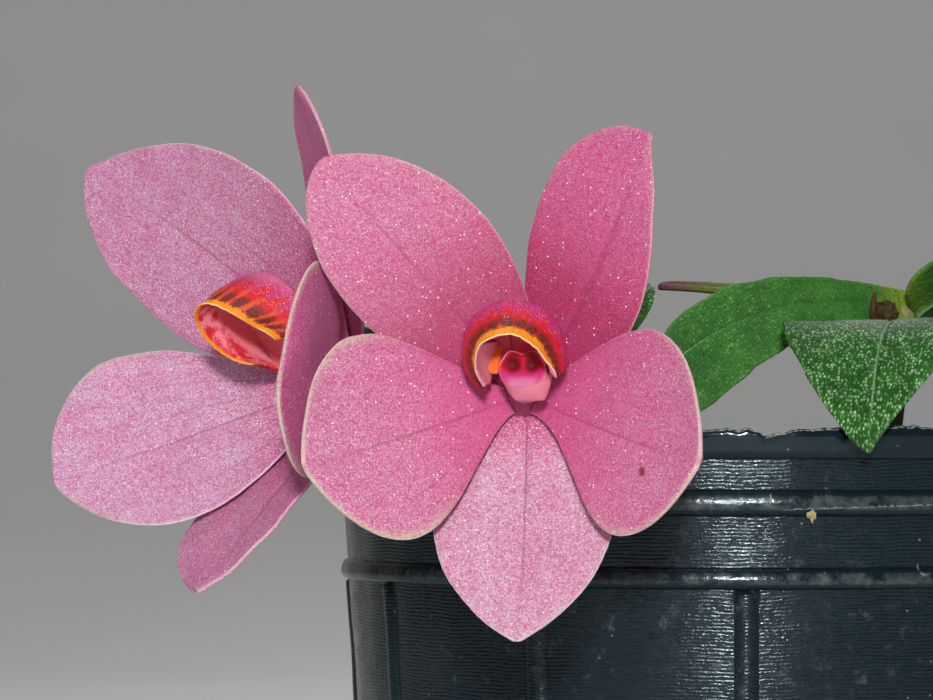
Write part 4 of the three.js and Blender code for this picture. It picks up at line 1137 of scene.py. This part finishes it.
def leafMaterial():
    # Mottled green with dark veins, a pale rib and margin and many warts, whose pale centres are
    # painted glints. The map's kind is -1 on leaves, -2 on the young shoot and 1 on canes and dried
    # sheaths.
    tones = leafTones
    material = newMaterial("leaf_flesh")
    point = objectPoint(material)
    s, v = mapValues(material, "bladeUv")
    fromEdge, _ = mapValues(material, "edge")
    phase, kind = mapValues(material, "caneMap")
    along, x = mapValues(material, "span")
    yellow, _ = mapValues(material, "tone")
    patch = noise(point, 2.6, 3, 0.6)
    wartGlint, wartRandom, wartHeight = cells(mapPoint(along * (0.6 * mm), x * mm), tones["wartSize"], 0.9)
    green = tint(ease(patch, 0.3, 0.7), tones["dark"], tones["green"])
    green = tint(ease(calc("PINGPONG", abs(v), 0.125), 0.03, 0) * 0.3, green, tones["dark"])
    green = tint(ease(fromEdge, 0.5, 0.05) * 0.5, green, tones["pale"])
    green = tint(ease(yellow, 0, 1, 0.4, 0), green, tones["dark"])
    green = tint(yellow * 0.35, green, tones["bright"])
    green = tint(ease(s, 0.16, 0) * ease(yellow, 0, 1, 0.05, 0.9), green, tones["young"])
    green = tint(ease(abs(x), 0.24, 0.06) * ease(s, 1, 0.8) * 0.75, green, tones["rib"])
    # Painted glints: the warts' centres turn pale, fewer near the leaf's root and on paler leaves
    speck = ease(wartGlint, 0.65, 0.1) * wartRandom ** 0.9 * ease(patch, 0.3, 0.7, 0.5, 1)
    speck = speck * ease(s, 0.1, 0.6, 0.3, 1) * ease(yellow, 0, 1, 0.95, 0.3)
    green = tint(speck, green, tones["wartGlint"])
    shoot = tint(ease(s, 0.7, 1), tones["shoot"], tones["shootTip"])
    green = tint(ease(kind, -1.2, -1.8), green, shoot)
    bark = tint(ease(noise(point, 0.6, 3, 0.7), 0.35, 0.65), tones["cane"], tones["sheath"])
    bark = tint(ease(phase, 0.8, 1) * 0.9, bark, tones["brown"])
    normal = bump(ease(wartGlint, 0.6, 0.05) * (wartHeight + 0.5), 0.1)
    return finishMaterial(material, tint(ease(kind, -0.5, 0.5), green, bark),
                          ease(wartGlint, 0.1, 0.5, 0.3, 0.55), {"Normal": normal, "Specular IOR Level": 0.1})


stalkTones = {"green": (0.24, 0.26, 0.06), "pink": (0.5, 0.12, 0.16), "bract": (0.42, 0.33, 0.2)}


def stalkMaterial():
    # green that turns pink towards the flower and in patches; the bract is straw-coloured
    tones = stalkTones
    material = newMaterial("stalk_flesh")
    point = objectPoint(material)
    s, _ = mapValues(material, "bladeUv")
    bract, _ = mapValues(material, "edge")
    color = tint(ease(s, 0.35, 0.05), tones["green"], tones["pink"])
    color = tint(ease(noise(point, 1.2, 3, 0.6), 0.45, 0.7) * 0.4, color, tones["pink"])
    color = tint(bract, color, tones["bract"])
    fine, _, _ = cells(point, 0.14)
    return finishMaterial(material, color, 0.5, {
        "Normal": bump(fine, 0.04), "Subsurface Weight": 0.15, "Subsurface Scale": 0.0008})


mossTones = {"dark": (0.09, 0.055, 0.02), "straw": (0.5, 0.38, 0.17), "green": (0.16, 0.2, 0.04),
             "tip": (0.66, 0.56, 0.32)}


def mossMaterial():
    # dark to straw-coloured fibres with green patches; strands go from green to straw by their tone
    tones = mossTones
    material = newMaterial("moss_fibre")
    point = objectPoint(material)
    tone, run = mapValues(material, "strand")
    fibre = noise(point, 0.5, 4, 0.7, 1.2)
    color = tint(ease(fibre, 0.3, 0.7), tones["dark"], tones["straw"])
    color = tint(ease(noise(point, 7, 3, 0.6), 0.5, 0.65) * 0.75, color, tones["green"])
    strand = tint(ease(tone, 0.2, 1), tones["green"], tones["straw"])
    strand = tint(ease(run, 0.7, 1) * 0.5, strand, tones["tip"])
    color = tint(ease(tone, 0.05, 0.15), color, strand)
    return finishMaterial(material, color, 0.9, {"Normal": bump(fibre, 0.4)})


potTones = {"plastic": (0.005, 0.012, 0.016), "dustAndGlitter": (0.14, 0.16, 0.15), "cut": (0.3, 0.31, 0.3),
            "scratch": (0.3, 0.34, 0.34), "speck": (0.3, 0.32, 0.29), "ripplePitch": 0.335,
            "line": [1.2, 17.5, 64.7, 0.03],
            "hooks": [[1, 65.9, 0.55, 0.5], [0.6, 62.6, 0.6, 0.4], [14.6, 59.6, 0.7, 0.3]]}


def potMarks(place, frayed):
    # three small hooked scratches, each part of a circle in x and z, and a fine pale line along the
    # upper bead, all on the front only
    x, y, z = (length * (1 / mm) for length in place)
    marks = 0
    for hookX, hookZ, radius, fromX in potTones["hooks"]:
        dx, dz = x - hookX, z - hookZ
        away = calc("SQRT", dx * dx + dz * dz)
        part = ease(dx, fromX, fromX - 0.2) * ease(dz, 0.3, 0.1)
        marks = calc("MAXIMUM", marks, ease(abs(away - radius), 0.09, 0.03) * part)
    start, end, low, climb = potTones["line"]
    bend = low + (x - start) * climb + (frayed - 0.5) * 0.5
    line = ease(abs(z - bend), 0.07, 0.02) * ease(x, start, start + 1) * ease(x, end, end - 1)
    return calc("MAXIMUM", marks, line) * ease(y, -20, -25) * ease(frayed, 0.35, 0.6)


def potMaterial():
    # fine level ripples round the wall, dust in patches, paler blotches on the beads' crests, pale
    # scratches and a pale cut rim
    tones = potTones
    material = newMaterial("pot_plastic")
    point = objectPoint(material)
    place = parts(point)
    bead, top = mapValues(material, "potMap")
    level = place[2] + noise(point, 6, 2, 0.5) * (0.9 * mm)
    ripple = calc("SINE", level * (2 * pi / (tones["ripplePitch"] * mm)))
    dashes = noise(calcVector("MULTIPLY", point, (1, 1, 3.2)), 0.9, 2, 0.7)
    collar = ease(place[2], (pot["collarLow"] - 0.1) * mm, (pot["collarLow"] + 0.2) * mm)
    ripple = ripple * ease(dashes, 0.42, 0.68, 0.1, 1) * (1 - collar) * ease(bead, 0, 0.6, 1, 0.12)
    blotch = noise(point, 1.6, 4, 0.7)
    dustAndGlitter = ease(blotch, 0.55, 0.8) * ease(noise(point, 14, 3, 0.6), 0.42, 0.66) * 0.55
    color = tint(dustAndGlitter, tones["plastic"], tones["dustAndGlitter"])
    # The beads' crests turn paler in blotches
    color = tint(ease(bead, 0.7, 1) * ease(blotch, 0.35, 0.6) * 0.3, color, tones["dustAndGlitter"])
    speck, speckRandom, _ = cells(point, 1.1)
    specks = ease(speck, 0.13, 0.05) * ease(speckRandom, 0.75, 0.8)
    color = tint(specks * 0.5, color, tones["speck"])
    frayed = noise(point, 0.5, 3, 0.7)
    cut = ease(top, 0.93, 0.99) * ease(frayed, 0.42, 0.6)
    color = tint(cut, color, tones["cut"])
    color = tint(potMarks(place, frayed) * 0.7, color, tones["scratch"])
    rough = ease(blotch, 0.35, 0.75, 0.17, 0.34) * ease(collar, 0, 1, 1, 0.6) + cut * 0.3
    rippled = bump(ripple, 0.02)
    normal = bump(noise(point, 0.55, 2, 0.6) * ease(collar, 0, 1, 1, 0.4), 0.035, Normal=rippled)
    return finishMaterial(material, color, rough, {
        "Normal": normal, "Specular IOR Level": 0.4, "Specular Tint": (0.78, 0.94, 1, 1)})


# Build
pinkFront = petalMaterial("petal_front", petalTones)
pinkLeft = petalMaterial("petal_left", leftPetalTones)
columnFlesh, leafFlesh, stalkFlesh = columnMaterial(), leafMaterial(), stalkMaterial()
for flower, petals, bands in ((frontFlower, pinkFront, frontBands), (leftFlower, pinkLeft, leftBands)):
    name = flower["name"]
    lipFlesh = lipMaterial(name + "_lip_flesh", bands)
    makePiece(name + "_petals", flowerTepals(flower), petals, "petal", name + "_tepals")
    makePiece(name + "_hood", flowerLip(flower), lipFlesh, "lip", name + "_lip")
    makePiece(name + "_pillar", flowerColumn(flower), columnFlesh, "column", name + "_column")
    makePiece(name + "_pedicel", flowerStalk(flower), stalkFlesh, "stalk", name + "_stalk")
    print("flower made:", name)

for k, stem in enumerate(stems):
    surfaces = leafyStem(stem, 300 + 40 * k)
    makePiece(f"stem_{k + 1}", surfaces, leafFlesh, "foliage", f"leafy_stem_{k + 1}")
print("stems made:", len(stems))

mossMesh = makeMesh("moss_bed", [mossBed(), mossStrands(), strayCrumb()], sharp=180)
makePiece("moss_bed", mossMesh, mossMaterial(), "moss_fibre", "moss")
print("moss made")
makePiece("pot_shell", potMesh(), potMaterial(), "pot_plastic", "pot")
print("pot made")


# Floor, light and camera
stage = {"half": 2.4, "back": 1.5, "bend": 0.7, "high": 2.4}


def stageFloor():
    # a pale floor that sweeps up behind in a quarter circle
    bend, back = stage["bend"], stage["back"]
    turn = np.linspace(0, pi / 2, 32)
    y = np.concatenate([[-stage["half"]], back - bend + bend * np.sin(turn), [back]])
    z = np.concatenate([[0], bend - bend * np.cos(turn), [stage["high"]]])
    x = np.linspace(-stage["half"], stage["half"], 3)
    grid = np.stack(np.broadcast_arrays(x[None], y[:, None], z[:, None]), -1) / mm
    floor = bpy.data.objects.new("floor", makeMesh("floor", [fromGrid(grid, {})]))
    bpy.context.scene.collection.objects.link(floor)
    paper = newMaterial("floor_paper")
    color = tint(noise(objectPoint(paper), 90), (0.6, 0.6, 0.59), (0.64, 0.64, 0.63))
    floor.data.materials.append(finishMaterial(paper, color, 0.85, {}))


def areaLight(name, spot, target, size, power):
    # a round lamp that faces its target
    light = bpy.data.lights.new(name, "AREA")
    light.shape, light.size, light.energy = "DISK", size, power
    lamp = bpy.data.objects.new(name, light)
    lamp.location = spot
    way = np.array(target, float) - np.array(spot, float)
    flat = math.hypot(way[0], way[1])
    lamp.rotation_euler = (pi / 2 + math.atan2(way[2], flat), 0, math.atan2(-way[0], way[1]))
    bpy.context.scene.collection.objects.link(lamp)


stageFloor()
areaLight("key", (-0.03, -0.6, 0.2), (-0.012, -0.05, 0.07), 0.06, 3.0)
areaLight("fill", (-0.25, -0.8, 0.35), (0, 0, 0.07), 1.0, 1.0)
areaLight("back", (0.2, 0.75, 0.5), (0, 0, 0.06), 0.5, 1.6)
areaLight("backdrop", (0, 0.1, 1.9), (0, 1.3, 0.3), 1.2, 12)

world = bpy.data.worlds.new("studio")
world.use_nodes = True
world.node_tree.nodes["Background"].inputs[0].default_value = (0.9, 0.95, 1, 1)
world.node_tree.nodes["Background"].inputs[1].default_value = 0.05
bpy.context.scene.world = world
bpy.context.scene.view_settings.view_transform = "Standard"

camera = bpy.data.cameras.new("camera")
camera.lens, camera.sensor_width, camera.clip_start = 122.5, 36, 0.01
viewer = bpy.data.objects.new("camera", camera)
viewer.location = (-0.0264, -0.32, 0.067)
viewer.rotation_euler = (deg(92.417), 0, 0)
bpy.context.scene.collection.objects.link(viewer)
bpy.context.scene.camera = viewer
